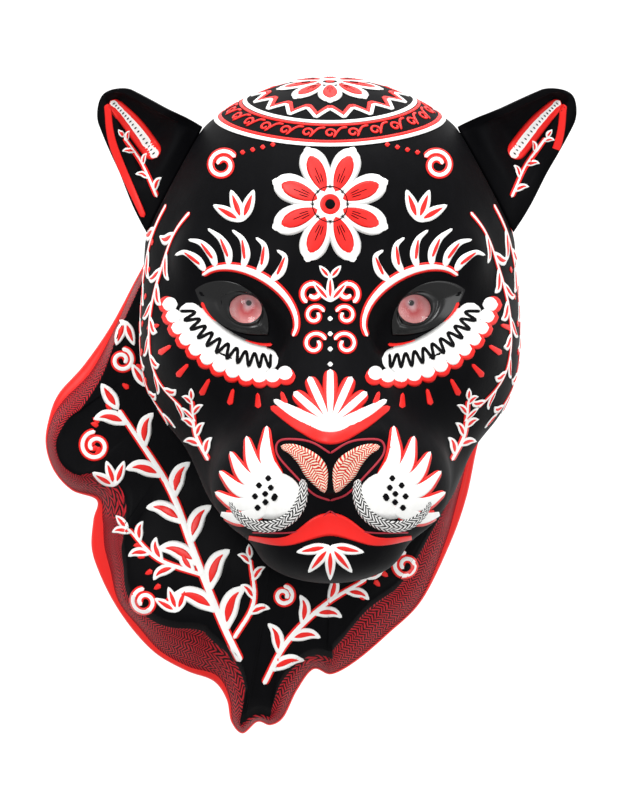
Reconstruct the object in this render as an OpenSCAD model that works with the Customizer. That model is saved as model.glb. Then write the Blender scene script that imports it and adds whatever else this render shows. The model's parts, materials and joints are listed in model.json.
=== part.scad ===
// Carved wall mask of a big cat's head on a flared neck.
// Millimetres. X to the right as seen from the front, the front faces -Y,
// the wall is the plane y = 0, and z = 0 is the height of the wall hook.

/* [Head] */
// Half width of the skull
skull_w = 112; // [110:1:116]
// Depth of the skull's ellipsoid, half
skull_d = 82; // [78:1:86]
// Height of the skull's ellipsoid, half
skull_h = 110; // [108:1:114]
// Plane where the head block is glued to the neck block, from the wall
joint_d = 30; // [28:1:32]
// Half width of the hollow inside the skull
cavity_w = 92; // [86:1:93]

/* [Eyes] */
// Distance of each eye's axis from the middle
eye_x = 50; // [48:1:52]
// Diameter of the glass eye
eye_dia = 23; // [21:0.5:23.5]
// Opening between the lids
lid_opening = 20.4; // [18:0.2:20.6]
// Tilt of the eyes below the horizon
eye_pitch = 5; // [0:1:10]

/* [Ears] */
// Tip of the ear on the -X side, from the middle
left_tip_x = 136; // [132:1:142]
// Tip of the ear on the +X side, from the middle
right_tip_x = 145; // [138:1:148]
// Diameter of the ear dowels
ear_dowel = 8; // [6:1:10]

/* [Neck] */
// Depth that the throat swells in front of the neck
throat = 28; // [20:1:30]
// Diameter of the dowels between head and neck
joint_dowel = 6; // [5:1:8]

/* [Hanger] */
// Thickness of the batten that carries the hanger
batten_t = 12; // [10:1:14]
// Height of the batten
batten_h = 36; // [32:1:40]
// Diameter of the ring's wire
ring_wire = 3; // [2.5:0.5:3.5]
// Width of the strap
strap_w = 14; // [12:1:15]

/* [Hidden] */

// Colours
paint_black = [0.05, 0.05, 0.06];
bare_wood = [0.78, 0.62, 0.42];
lid_black = [0.03, 0.03, 0.03];
iris_pink = [0.9, 0.42, 0.42];
glass_tint = [0.95, 0.85, 0.85];
steel = [0.75, 0.75, 0.78];

// Fits and rounding
gap = 0.1;
fine = 64;

// Head grid: sectors round the face, rings from the nose bridge to the joint
sectors = 88;
head_rings = 38;
cavity_rings = 12;
skull_c = [0, 50, -60];
ray_start = [0, joint_d, -108];
far = 245;
march_steps = 32;
near_enough = 0.04;

// Hollow in the skull and in the muzzle
cavity_c = [0, 40, -62];
cavity_r = [cavity_w, 60, 88];
snout_hollow_c = [0, 88, -160];
snout_hollow_r = [46, 46, 40];

// Flat seats that the ears are glued to
seat_angle = 28;
seat_n = [cos(seat_angle), 0, sin(seat_angle)];
seat_reach = 105.44;
seat_c = [93.6, 50, -11.3];

// Eyes
eye_z = -89.5;
eye_d = 121;
eye_yaw = 6;
dome_h = 8;
disc_t = 1.5;
eye_r = eye_dia / 2;
dome_r = (eye_r * eye_r + dome_h * dome_h) / (2 * dome_h);
glass_back = -5;
dome_base = -1;
lid_back = -3;
lid_front = 4.5;
lid_step = 1.7;
lid_round = 90;
lid_roll = 31;
lid_shift = [6.4, -6.5];
upper_bulge = 18;
lower_bulge = 9.5;
upper_lid = 28.6;
lower_lid = 42;

// Ears
ear_tip_z = 40;
ear_tip_d = 62;
ear_sections = 14;
ear_arc = 13;
ear_root_w = 36;
ear_tip_w = 10;
ear_root_t = 24;
ear_tip_t = 9;
ear_band = 13;
ear_rear = 4.5;
ear_yaw = 24;

// Neck outline from the top, clockwise as seen from the front:
// [x, z, lip beyond the band, band width, depth of the band's inner edge]
neck_edge = [
    [0, 44, 1, 3, 30], [40, 36, 1, 3, 30], [74, 14, 1, 3, 30], [96, -18, 1, 3, 30],
    [104, -56, 1, 3, 30], [103, -92, 1, 3, 30], [99, -124, 1, 3, 30], [95, -150, 1, 3, 30],
    [89, -176, 4, 3, 29], [83, -204, 5, 5, 28], [73, -232, 3, 11, 30], [56, -266, 1, 16, 33],
    [36, -286, 1, 19, 34], [16, -303, 1, 15, 31], [1, -311, 1, 11, 28], [-10, -308, 1, 8, 25],
    [-20, -321, 1, 10, 24], [-28, -337, 1, 8, 20], [-36, -342, 1, 5, 17], [-44, -340, 1, 4, 17],
    [-53, -347, 1, 6, 19], [-60, -340, 1, 8, 22], [-63, -326, 2, 11, 26], [-71, -315, 4, 15, 31],
    [-87, -309, 3, 24, 35], [-105, -299, 3, 18, 34], [-119, -285, 4, 9, 30], [-131, -268, 3, 7, 27],
    [-140, -250, 7, 9, 27], [-145, -234, 8, 11, 29], [-144, -217, 6, 14, 31], [-142, -205, 2, 15, 31],
    [-157, -199, 1, 10, 29], [-168, -187, 1, 6, 26], [-173, -171, 1, 6, 25], [-171, -155, 2, 9, 27],
    [-165, -140, 5, 12, 30], [-150, -123, 6, 8, 31], [-134, -100, 3, 4, 30], [-120, -74, 1, 4, 30],
    [-110, -54, 1, 3, 30], [-98, -18, 1, 3, 30], [-74, 14, 1, 3, 30], [-40, 36, 1, 3, 30]];
edge_steps = 2;
lip_d = 6;
hole_w = 90;
hole_h = 86;
hole_z = -62;
throat_at = [-22, -252];
throat_spread = [68, 30, 56];
neck_wall = 13;
back_land = 13;

// Joint dowels, [x, z]
dowel_at = [[60, 12], [-60, 12], [44, -149], [-44, -149]];
dowel_half = 11;

// Batten, strap and ring
batten_top = -30;
batten_d = 8;
batten_len = 192;
batten_screw_x = 91;
screw_r = 1.9;
screw_head_r = 3.6;
screw_len = 20;
ring_d = 4.6;
pivot_z = -22;
ring_w = 24;
strap_t = 1.2;
strap_len = 36;
strap_screw_z = [-38, -54];
barrel_bore = ring_wire / 2 + 0.08;
barrel_r = barrel_bore + strap_t;
head_h = 1.6;

// ---- Smooth solids as gaps: below zero inside, above zero outside.
// Points are [distance from the middle, depth from the wall, height].

function roll(q, a) = [q.x * cos(a) + q.z * sin(a), q.y, q.z * cos(a) - q.x * sin(a)];

function ellipsoid_gap(p, c, r, a = 0) =
    let (q = roll(p - c, a),
         u = [q.x / r.x, q.y / r.y, q.z / r.z],
         k = norm(u),
         g = norm([u.x / r.x, u.y / r.y, u.z / r.z]))
    k * (k - 1) / max(g, 0.000001);

function capsule_gap(p, a, b, ra, rb) =
    let (ab = b - a,
         t = max(0, min(1, ((p - a) * ab) / (ab * ab))))
    norm(p - a - t * ab) - (ra + (rb - ra) * t);

function join(a, b, k) =
    let (h = max(k - abs(a - b), 0) / k)
    min(a, b) - h * h * k / 4;

function carve(a, b, k) = -join(-a, b, k);

function smooth(a, b, s) = let (t = max(0, min(1, (s - a) / (b - a)))) t * t * (3 - 2 * t);

// Skull, forehead, cheeks, jaw, muzzle and brow
function skull_gap(p) =
    let (skull = ellipsoid_gap(p, skull_c, [skull_w, skull_d, skull_h]),
         forehead = join(skull, ellipsoid_gap(p, [0, 80, -44], [82, 60, 70]), 30),
         cheeks = join(forehead, ellipsoid_gap(p, [50, 66, -116], [63, 62, 66]), 24),
         jaw = join(cheeks, ellipsoid_gap(p, [0, 92, -176], [80, 58, 62]), 24),
         snout = join(jaw, ellipsoid_gap(p, [0, 122, -184], [66, 58, 54]), 20),
         q = [p.x / 1.35, p.y, p.z],
         bridge = join(snout, capsule_gap(q, [0, 112, -72], [0, 160, -158], 24, 24), 22),
         bone = join(bridge, ellipsoid_gap(p, [62, 104, -124], [36, 32, 26], 24), 18))
    join(bone, capsule_gap(p, [30, 122, -70], [74, 108, -58], 14, 12), 22);

// Eye hollows, eye mounds, chin, mouth line, whisker pads and nose
function head_gap(p) =
    let (hollow = carve(skull_gap(p), ellipsoid_gap(p, [58, 142, -93], [34, 24, 17], 31), 12),
         mound = join(hollow, ellipsoid_gap(p, [57, 100, -91], [31, 22, 19], 31), 6),
         chin = join(mound, ellipsoid_gap(p, [0, 130, -230], [44, 42, 23]), 10),
         mouth = carve(chin, capsule_gap(p, [0, 192, -218], [66, 150, -226], 5, 5), 6),
         pads = join(mouth, ellipsoid_gap(p, [33, 146, -192], [38, 42, 36], -14), 12),
         wings = join(pads, capsule_gap(p, [0, 184, -172], [24, 176, -168], 12, 9.5), 6),
         nose = join(wings, capsule_gap(p, [0, 184, -172], [0, 182, -192], 12, 8), 6),
         seat = [p.x, 0, p.z - skull_c.z] * seat_n - seat_reach)
    max(nose, seat);

function cavity_gap(p) =
    join(ellipsoid_gap(p, cavity_c, cavity_r),
         ellipsoid_gap(p, snout_hollow_c, snout_hollow_r), 20);

// Distance from ray_start to the surface, coming in from outside
function reach(gap_of, dir, t, n) =
    let (q = ray_start + t * dir,
         g = gap_of([abs(q.x), q.y, q.z]))
    n == 0 || g < near_enough ? t : reach(gap_of, dir, t - 0.8 * g, n - 1);

// A dome of rings over the joint plane: ring 0 is the pole, the last lies in the plane
function dome_points(gap_of, rings) =
    [for (i = [1 : rings], j = [0 : sectors - 1])
        let (polar = 90 * i / rings,
             round = 360 * j / sectors,
             dir = [sin(polar) * cos(round), cos(polar), sin(polar) * sin(round)],
             q = ray_start + reach(gap_of, dir, far, march_steps) * dir)
        [q.x, -q.y, q.z]];

function pole_point(gap_of) =
    let (q = ray_start + reach(gap_of, [0, 1, 0], far, march_steps) * [0, 1, 0])
    [q.x, -q.y, q.z];

// Quads between ring a and ring b of a grid of n points each, both starting at given indices
function band_faces(a, b, n) =
    [for (j = [0 : n - 1])
        let (k = (j + 1) % n)
        each [[a + j, a + k, b + k], [a + j, b + k, b + j]]];

module head_block() {
    outer = dome_points(function(p) head_gap(p), head_rings);
    inner = dome_points(function(p) cavity_gap(p), cavity_rings);
    n_out = len(outer);
    n_in = len(inner);
    points = concat(outer, inner, [pole_point(function(p) head_gap(p)),
                                   pole_point(function(p) cavity_gap(p))]);
    outer_pole = n_out + n_in;
    inner_pole = outer_pole + 1;
    rim_out = n_out - sectors;
    rim_in = n_out + n_in - sectors;
    faces = concat(
        [for (j = [0 : sectors - 1]) [outer_pole, (j + 1) % sectors, j]],
        [for (i = [0 : head_rings - 2])
            each band_faces((i + 1) * sectors, i * sectors, sectors)],
        band_faces(rim_in, rim_out, sectors),
        [for (i = [0 : cavity_rings - 2])
            each band_faces(n_out + i * sectors, n_out + (i + 1) * sectors, sectors)],
        [for (j = [0 : sectors - 1]) [inner_pole, n_out + j, n_out + (j + 1) % sectors]]);
    polyhedron(points, faces);
}

module head_shell() {
    color(paint_black)
        difference() {
            head_block();
            for (side = [-1, 1]) {
                at_eye(side) eye_pocket(side);
                at_seat(side) translate([0, 0, -11.5]) cylinder(r = ear_dowel / 2 + gap, h = 20, $fn = fine);
            }
            joint_dowel_set(gap);
        }
}

// ---- Neck

function wrap(i) = (i + len(neck_edge)) % len(neck_edge);

// Smooth closed curve through the rows of neck_edge
function edge_row(i, t) =
    let (a = neck_edge[wrap(i - 1)], b = neck_edge[wrap(i)],
         c = neck_edge[wrap(i + 1)], d = neck_edge[wrap(i + 2)])
    0.5 * (2 * b + t * (c - a) + t * t * (2 * a - 5 * b + 4 * c - d)
           + t * t * t * (3 * b - a - 3 * c + d));

edge_rows = [for (i = [0 : len(neck_edge) - 1], s = [0 : edge_steps - 1]) edge_row(i, s / edge_steps)];
edge_n = len(edge_rows);

// Direction into the neck at row i, square to the outline
function inward(i) =
    let (a = edge_rows[(i + edge_n - 1) % edge_n], b = edge_rows[(i + 1) % edge_n],
         t = [b.x - a.x, b.y - a.y])
    [t.y, -t.x] / norm(t);

function hole_point(i) =
    let (r = edge_rows[i],
         a = atan2((r.y - hole_z) / hole_h, r.x / hole_w))
    [hole_w * cos(a), hole_z + hole_h * sin(a)];

function throat_swell(x, z) =
    let (u = (x - throat_at.x) / throat_spread.x,
         v = (z - throat_at.y) / (z > throat_at.y ? throat_spread.y : throat_spread.z))
    throat * exp(-(u * u + v * v) / 2) * smooth(188, 212, -z);

// One cross-section of the neck, from the wall round the outside to the hole and back
function neck_section(i) =
    let (r = edge_rows[i], o = [r.x, r.y], m = inward(i),
         rim = o.y > -190 ? min(r[4], joint_d) : r[4],
         lip = o + r[2] * m, crest = o + (r[2] + r[3]) * m, h = hole_point(i),
         land = o + back_land * m, span = h - crest,
         top = [for (f = [0.12, 0.3, 0.5, 0.72])
                   let (q = crest + f * span,
                        d = rim + (joint_d - rim) * min(1, 2 * f) + (f < 0.6 ? throat_swell(q.x, q.y) : 0))
                   [q, d]],
         under = [for (f = [0.5, 0.15]) let (q = land + f * (h - land))
                     [q, norm(h - land) > 12 ? joint_d - neck_wall + 0.8 * throat_swell(q.x, q.y) : 0]])
    concat([[o, 0], [o, lip_d / 2], [lip, lip_d], [(lip + crest) / 2, (lip_d + rim) / 2 + 2], [crest, rim]],
           top, [[h, joint_d], [h, norm(h - land) > 12 ? joint_d - neck_wall : 0]],
           under, [[land, 0]]);

module neck_block() {
    sections = [for (i = [0 : edge_n - 1]) neck_section(i)];
    n = len(sections[0]);
    points = [for (s = sections, p = s) [p[0].x, -p[1], p[0].y]];
    faces = [for (i = [0 : edge_n - 1], j = [0 : n - 1])
        let (k = (i + 1) % edge_n, l = (j + 1) % n)
        each [[i * n + j, k * n + j, k * n + l], [i * n + j, k * n + l, i * n + l]]];
    polyhedron(points, faces);
}

module neck_ruff() {
    color(paint_black)
        difference() {
            neck_block();
            translate([-batten_len / 2 - gap, -batten_d - batten_t - gap, batten_top - batten_h - gap])
                cube([batten_len + 2 * gap, batten_d + batten_t + 1, batten_h + 2 * gap]);
            joint_dowel_set(gap);
            batten_screw_set(gap);
        }
}

// Dowels that register the head block on the neck block
module joint_dowel_set(grow) {
    for (at = dowel_at)
        translate([at.x, -joint_d + dowel_half + grow, at.y])
            rotate([90, 0, 0])
                cylinder(r = joint_dowel / 2 + grow, h = 2 * (dowel_half + grow), $fn = fine);
}

module joint_dowels() {
    color(bare_wood) joint_dowel_set(0);
}

// ---- Ears. Everything is drawn for the +X side and mirrored for the other.

module at_seat(side) {
    translate([side * seat_c.x, -seat_c.y, seat_c.z])
        rotate([0, side * (90 - seat_angle), 0])
            children();
}

// Section s from the seat (0) to the tip (1): an arc behind, the concha in front
function ear_section(s, tip) =
    let (tip_round = sqrt(1 - 0.9 * pow(max(0, (s - 0.84) / 0.16), 2)),
         w = (ear_tip_w + (ear_root_w - ear_tip_w) * pow(1 - s, 0.85)) * tip_round,
         t = (ear_root_t + (ear_tip_t - ear_root_t) * s) * tip_round,
         scoop = -1.5 + (0.7 * t + 1.5) * (smooth(0.14, 0.4, s) - smooth(0.86, 1, s)),
         band = min(ear_band, w * 0.75), rear = min(ear_rear, w * 0.3),
         across = [for (j = [0 : ear_arc]) let (a = 180 * j / ear_arc) [w * cos(a), -t * sin(a)]],
         back = [for (j = [1 : ear_arc]) let (a = 180 - 180 * j / (ear_arc + 1))
                    [(band - rear) / 2 + (w - (band + rear) / 2) * cos(a), -scoop * sin(a)]],
         middle = seat_c + s * (tip - seat_c) + [0, 12 - 2 * s, 0],
         lean = seat_angle + 20 * s,
         e_t = [-sin(lean), 0, cos(lean)], yaw = ear_yaw * smooth(0, 0.5, s))
    [for (i = [0 : 2 * ear_arc])
        let (q = i < ear_arc ? back[ear_arc - 1 - i] : across[2 * ear_arc - i],
             u = q.x * cos(yaw) - q.y * sin(yaw),
             v = q.y * cos(yaw) + q.x * sin(yaw),
             p = middle + u * e_t + [0, v, 0])
        [p.x, -p.y, p.z]];

module ear_block(tip) {
    sections = [for (i = [0 : ear_sections]) ear_section(sin(90 * i / ear_sections), tip)];
    n = len(sections[0]);
    points = [for (s = sections, p = s) p];
    sides = [for (i = [0 : ear_sections - 1], j = [0 : n - 1])
        let (l = (j + 1) % n, a = i * n, b = (i + 1) * n)
        each [[a + j, b + l, a + l], [a + j, b + j, b + l]]];
    polyhedron(points, concat(sides, [[for (j = [0 : n - 1]) j],
                                      [for (j = [0 : n - 1]) ear_sections * n + n - 1 - j]]));
}

module ear(side, tip_x) {
    color(paint_black)
        difference() {
            mirror([side < 0 ? 1 : 0, 0, 0]) ear_block([tip_x, ear_tip_d, ear_tip_z]);
            at_seat(side) translate([0, 0, -1]) cylinder(r = ear_dowel / 2 + gap, h = 16.5, $fn = fine);
        }
}

module ear_dowel_pin(side) {
    color(bare_wood) at_seat(side) translate([0, 0, -11]) cylinder(r = ear_dowel / 2, h = 26, $fn = fine);
}

// ---- Eyes. Local +Z points out of the face.

module at_eye(side) {
    translate([side * eye_x, -eye_d, eye_z])
        rotate([90 + eye_pitch, 0, side * eye_yaw])
            children();
}

// Outline of the lids: the upper arc bulges more than the lower one
module almond(side, grow) {
    rotate(side * lid_roll)
        translate([side * lid_shift.x, lid_shift.y])
            intersection() {
                translate([0, upper_bulge - upper_lid]) circle(r = upper_lid + grow, $fn = 96);
                translate([0, lower_lid - lower_bulge]) circle(r = lower_lid + grow, $fn = 96);
            }
}

module eye_pocket(side) {
    translate([0, 0, lid_back]) linear_extrude(30) almond(side, gap);
    translate([0, 0, glass_back - disc_t]) cylinder(r = eye_r + 0.3, h = 20, $fn = fine);
}

module eye_glass(side) {
    color(glass_tint)
        at_eye(side)
            rotate_extrude($fn = 96)
                intersection() {
                    union() {
                        translate([0, glass_back]) square([eye_r, dome_base - glass_back]);
                        translate([0, dome_base + dome_h - dome_r]) circle(r = dome_r, $fn = 96);
                    }
                    translate([0, glass_back]) square([eye_r, dome_base + dome_h - glass_back]);
                }
}

module iris_disc(side) {
    color(iris_pink)
        at_eye(side) translate([0, 0, glass_back - disc_t + 0.02]) cylinder(r = eye_r, h = disc_t - 0.04, $fn = 96);
}

module eyelids(side) {
    color(lid_black)
        at_eye(side)
            difference() {
                intersection() {
                    translate([0, 0, lid_back + 0.02]) linear_extrude(lid_front - lid_back) almond(side, 0);
                    translate([0, 0, lid_front - lid_round]) sphere(r = lid_round, $fn = 160);
                }
                translate([0, 0, lid_back - 1]) cylinder(r = lid_opening / 2, h = 12, $fn = 96);
                translate([0, 0, lid_back - 1]) cylinder(r = eye_r + 0.3, h = lid_step - lid_back + 1, $fn = 96);
            }
}

// ---- Hanger on the back

module batten_screw_set(grow) {
    for (x = [-batten_screw_x, batten_screw_x])
        translate([x, -batten_d + head_h, batten_top - batten_h / 2])
            rotate([90, 0, 0]) {
                cylinder(r = screw_head_r + grow, h = head_h, $fn = fine);
                cylinder(r = screw_r + grow, h = screw_len + grow, $fn = fine);
            }
}

module strap_screw_set(grow) {
    for (z = strap_screw_z)
        translate([0, -batten_d + strap_t + head_h, z])
            rotate([90, 0, 0]) {
                cylinder(r = screw_head_r - 0.6 + grow, h = head_h, $fn = fine);
                cylinder(r = screw_r - 0.4 + grow, h = batten_t + grow, $fn = fine);
            }
}

module hanger_batten() {
    color(bare_wood)
        difference() {
            translate([-batten_len / 2, -batten_d - batten_t, batten_top - batten_h])
                cube([batten_len, batten_t, batten_h]);
            batten_screw_set(0.02);
            strap_screw_set(0.02);
        }
}

module batten_screws() {
    color(steel) batten_screw_set(0);
}

module strap_screws() {
    color(steel) strap_screw_set(0);
}

// Plate with its top rolled round the ring's bar
module hanger_strap() {
    color(steel)
        difference() {
            union() {
                translate([-strap_w / 2, -batten_d, pivot_z - strap_len])
                    cube([strap_w, strap_t, strap_len]);
                translate([-strap_w / 2, -ring_d, pivot_z])
                    rotate([0, 90, 0]) cylinder(r = barrel_r, h = strap_w, $fn = fine);
            }
            translate([-strap_w / 2 - 1, -ring_d, pivot_z])
                rotate([0, 90, 0]) cylinder(r = barrel_bore, h = strap_w + 2, $fn = fine);
            for (z = strap_screw_z)
                translate([0, 0, z])
                    rotate([90, 0, 0]) cylinder(r = screw_r - 0.38, h = 20, $fn = fine);
        }
}

// D-shaped ring: a straight bar, two short sides and a half circle
module hanger_ring() {
    r = ring_wire / 2;
    half = ring_w / 2;
    side_h = -pivot_z + r - half;
    color(steel)
        translate([0, -ring_d, pivot_z])
            rotate([90, 0, 0]) {
                rotate([0, 90, 0]) translate([0, 0, -half]) cylinder(r = r, h = ring_w, $fn = fine);
                for (x = [-half, half]) translate([x, 0, 0]) {
                    sphere(r = r, $fn = fine);
                    rotate([-90, 0, 0]) cylinder(r = r, h = side_h, $fn = fine);
                }
                translate([0, side_h, 0])
                    rotate_extrude(angle = 180, $fn = 96) translate([half, 0]) circle(r = r, $fn = fine);
            }
}

head_shell();
neck_ruff();
joint_dowels();
ear(-1, left_tip_x);  // left_ear
ear(1, right_tip_x);  // right_ear
ear_dowel_pin(-1);  // left_ear_dowel
ear_dowel_pin(1);  // right_ear_dowel
eye_glass(-1);  // left_eye_glass
eye_glass(1);  // right_eye_glass
iris_disc(-1);  // left_iris_disc
iris_disc(1);  // right_iris_disc
eyelids(-1);  // left_eyelids
eyelids(1);  // right_eyelids
hanger_batten();
batten_screws();
hanger_strap();
strap_screws();
hanger_ring();
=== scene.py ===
# %% [markdown]
# # A carved and painted cat mask
# The mask is a hollow wooden head on a flared wooden neck. Two ears are glued on, the eyes are domed glass
# set in black putty, and nearly everything else that is seen is paint, laid on in raised strokes.
# The frame holds the solid parts. Here each carved part gets a finer skin, and the paint is put on it.

# %% Load the solid parts
import json
import math

import bpy
import numpy as np
import openvdb
from mathutils import Euler, Matrix, Vector
from mathutils.bvhtree import BVHTree

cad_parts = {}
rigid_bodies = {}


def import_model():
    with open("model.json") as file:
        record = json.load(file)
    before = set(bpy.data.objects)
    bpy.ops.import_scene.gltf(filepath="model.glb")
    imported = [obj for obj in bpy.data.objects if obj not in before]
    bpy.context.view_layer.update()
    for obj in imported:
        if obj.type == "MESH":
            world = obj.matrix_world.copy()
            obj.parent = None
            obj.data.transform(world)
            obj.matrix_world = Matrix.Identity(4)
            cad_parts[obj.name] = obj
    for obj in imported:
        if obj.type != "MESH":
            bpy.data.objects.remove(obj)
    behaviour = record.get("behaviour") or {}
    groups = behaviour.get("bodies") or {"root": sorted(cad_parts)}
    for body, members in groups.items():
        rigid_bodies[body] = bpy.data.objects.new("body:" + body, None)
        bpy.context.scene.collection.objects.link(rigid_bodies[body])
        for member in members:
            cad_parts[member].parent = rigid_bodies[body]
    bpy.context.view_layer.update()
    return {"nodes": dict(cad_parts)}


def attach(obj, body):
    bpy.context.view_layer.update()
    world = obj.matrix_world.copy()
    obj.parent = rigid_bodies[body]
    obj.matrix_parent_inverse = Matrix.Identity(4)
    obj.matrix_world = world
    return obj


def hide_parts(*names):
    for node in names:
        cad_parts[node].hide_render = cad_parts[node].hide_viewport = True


for leftover in list(bpy.data.objects):
    bpy.data.objects.remove(leftover)
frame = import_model()
MM = 0.001

# %% [markdown]
# ## Camera, wall and light
# The mask is looked at straight on, through a long lens, so that near and far parts keep one scale.
# A plain white wall stands behind it. The wall's far side is see-through, because the back of the mask
# is looked at too. Large soft lamps and a white sky give the even light of a studio table.

# %% Camera
camera = bpy.data.objects.new("camera", bpy.data.cameras.new("camera"))
bpy.context.scene.collection.objects.link(camera)
camera.data.lens = 400
camera.data.sensor_width = 36
camera.data.clip_end = 60
camera.location = (-0.0084, -5.413, -0.144)
camera.rotation_euler = (math.radians(90), 0, 0)
bpy.context.scene.camera = camera
bpy.context.scene.view_settings.view_transform = "Standard"
print("camera", round(-camera.location.y, 2), "m in front")


# %% A helper that makes a mesh object from points and faces
def mesh_object(name, points, faces):
    mesh = bpy.data.meshes.new(name)
    mesh.from_pydata([tuple(p) for p in points], [], [tuple(int(i) for i in f) for f in faces])
    mesh.validate()
    mesh.polygons.foreach_set("use_smooth", [True] * len(mesh.polygons))
    piece = bpy.data.objects.new(name, mesh)
    bpy.context.scene.collection.objects.link(piece)
    return piece


def volume_of(mesh):
    mesh.calc_loop_triangles()
    co = np.empty(len(mesh.vertices) * 3)
    mesh.vertices.foreach_get("co", co)
    tri = np.empty(len(mesh.loop_triangles) * 3, np.int32)
    mesh.loop_triangles.foreach_get("vertices", tri)
    a, b, c = co.reshape(-1, 3)[tri.reshape(-1, 3)].transpose(1, 0, 2)
    return float(np.einsum("ij,ij->i", a, np.cross(b, c)).sum() / 6)


def face_outwards(piece):
    if volume_of(piece.data) < 0:
        piece.data.flip_normals()
    return piece


# %% Wall and lamps
wall = mesh_object("wall", [(-4, 0.7, -4), (4, 0.7, -4), (4, 0.7, 4), (-4, 0.7, 4)], [(0, 1, 2, 3)])
wall_paint = bpy.data.materials.new("wall_white")
wall_paint.use_nodes = True
nodes, links = wall_paint.node_tree.nodes, wall_paint.node_tree.links
nodes["Principled BSDF"].inputs["Base Color"].default_value = (0.95, 0.95, 0.95, 1)
nodes["Principled BSDF"].inputs["Roughness"].default_value = 0.9
see_through, side, pick = (nodes.new(k) for k in
                           ("ShaderNodeBsdfTransparent", "ShaderNodeNewGeometry", "ShaderNodeMixShader"))
links.new(side.outputs["Backfacing"], pick.inputs[0])
links.new(nodes["Principled BSDF"].outputs[0], pick.inputs[1])
links.new(see_through.outputs[0], pick.inputs[2])
links.new(pick.outputs[0], nodes["Material Output"].inputs[0])
wall.data.materials.append(wall_paint)

sky = bpy.data.worlds.new("studio")
sky.use_nodes = True
sky.node_tree.nodes["Background"].inputs[0].default_value = (1, 1, 1, 1)
sky.node_tree.nodes["Background"].inputs[1].default_value = 0.75
bpy.context.scene.world = sky
for name, place, size, power in (("key", (-1.3, -2.4, 1.5), 1.1, 46), ("fill", (1.7, -2.2, 0.2), 1.4, 20),
                                 ("rim", (0.5, 0.3, 2.2), 1.2, 18), ("wall_wash", (0, -0.6, 2.6), 2.2, 40)):
    lamp = bpy.data.objects.new(name, bpy.data.lights.new(name, "AREA"))
    lamp.data.size, lamp.data.energy = size, power
    lamp.location = place
    target = Vector((0, 0.6, -0.1)) if name == "wall_wash" else Vector((0, -0.1, -0.12))
    lamp.rotation_euler = (target - Vector(place)).to_track_quat("-Z", "Y").to_euler()
    bpy.context.scene.collection.objects.link(lamp)

# %% [markdown]
# ## The carved head
# A carver roughs a head out of rounded lumps and then blends them. The same can be done with a distance
# field: each lump is an ellipsoid or a rounded bar, and a soft minimum melts it into its neighbours, while a
# soft maximum cuts hollows. One grid of samples is then turned into a skin of even quads, which suits a shape
# with no straight edges better than modelling by hand. Both halves share one field, because it reads |x|.


# %% Lumps, soft joins and soft cuts
def lump(p, centre, radii, roll=0):
    q = p - np.array(centre, np.float32)
    if roll:
        c, s = math.cos(math.radians(roll)), math.sin(math.radians(roll))
        q = np.stack([q[:, 0] * c + q[:, 2] * s, q[:, 1], q[:, 2] * c - q[:, 0] * s], 1)
    r = np.array(radii, np.float32)
    k = np.linalg.norm(q / r, axis=1)
    return k * (k - 1) / np.maximum(np.linalg.norm(q / (r * r), axis=1), 1e-6)


def bar(p, a, b, ra, rb):
    a, ab = np.array(a, np.float32), np.array(b, np.float32) - np.array(a, np.float32)
    t = np.clip((p - a) @ ab / (ab @ ab), 0, 1)
    return np.linalg.norm(p - a - t[:, None] * ab, axis=1) - (ra + (rb - ra) * t)


def join(a, b, k):
    h = np.maximum(k - np.abs(a - b), 0) / k
    return np.minimum(a, b) - h * h * k / 4


def cut(a, b, k):
    return -join(-a, b, k)


# %% The head as one field: [distance from the middle, depth from the wall, height], in mm
SKULL = (0, 50, -60)
JOINT_DEPTH = 30
SEAT_ANGLE, SEAT_REACH = math.radians(28), 105.5
EYE = Vector((50, -121, -89.5))
EYE_PITCH, EYE_YAW, LID_ROLL = 5, 6, math.radians(31)


def carved_head(p):
    p = p.astype(np.float32)
    p = np.stack([np.abs(p[:, 0]), -p[:, 1], p[:, 2]], 1)
    d = lump(p, SKULL, (112, 82, 110))
    d = join(d, lump(p, (0, 80, -44), (82, 60, 70)), 30)                 # forehead
    d = join(d, lump(p, (50, 66, -116), (63, 62, 66)), 24)               # cheeks
    d = join(d, lump(p, (0, 92, -176), (80, 58, 62)), 24)                # jaw
    d = join(d, lump(p, (0, 122, -184), (66, 58, 54)), 20)               # muzzle
    narrow = p / np.array([1.35, 1, 1], np.float32)
    d = join(d, bar(narrow, (0, 112, -72), (0, 160, -158), 24, 24), 22)  # bridge
    d = join(d, lump(p, (62, 104, -124), (36, 32, 26), 24), 18)          # cheekbones
    d = join(d, bar(p, (30, 122, -70), (74, 108, -58), 14, 12), 22)      # brows
    d = cut(d, lump(p, (58, 142, -93), (34, 24, 17), 31), 12)            # eye hollows
    d = join(d, lump(p, (57, 100, -91), (31, 22, 19), 31), 6)            # eye mounds
    d = join(d, lump(p, (0, 130, -230), (44, 42, 23)), 10)               # chin
    d = cut(d, bar(p, (0, 192, -218), (66, 150, -226), 5, 5), 6)         # mouth line
    d = join(d, lump(p, (33, 146, -192), (38, 42, 36), -14), 12)         # whisker pads
    d = join(d, bar(p, (0, 184, -172), (24, 176, -168), 12, 9.5), 6)     # nose wings
    return join(d, bar(p, (0, 184, -172), (0, 182, -192), 12, 8), 6)     # nose tip


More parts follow.
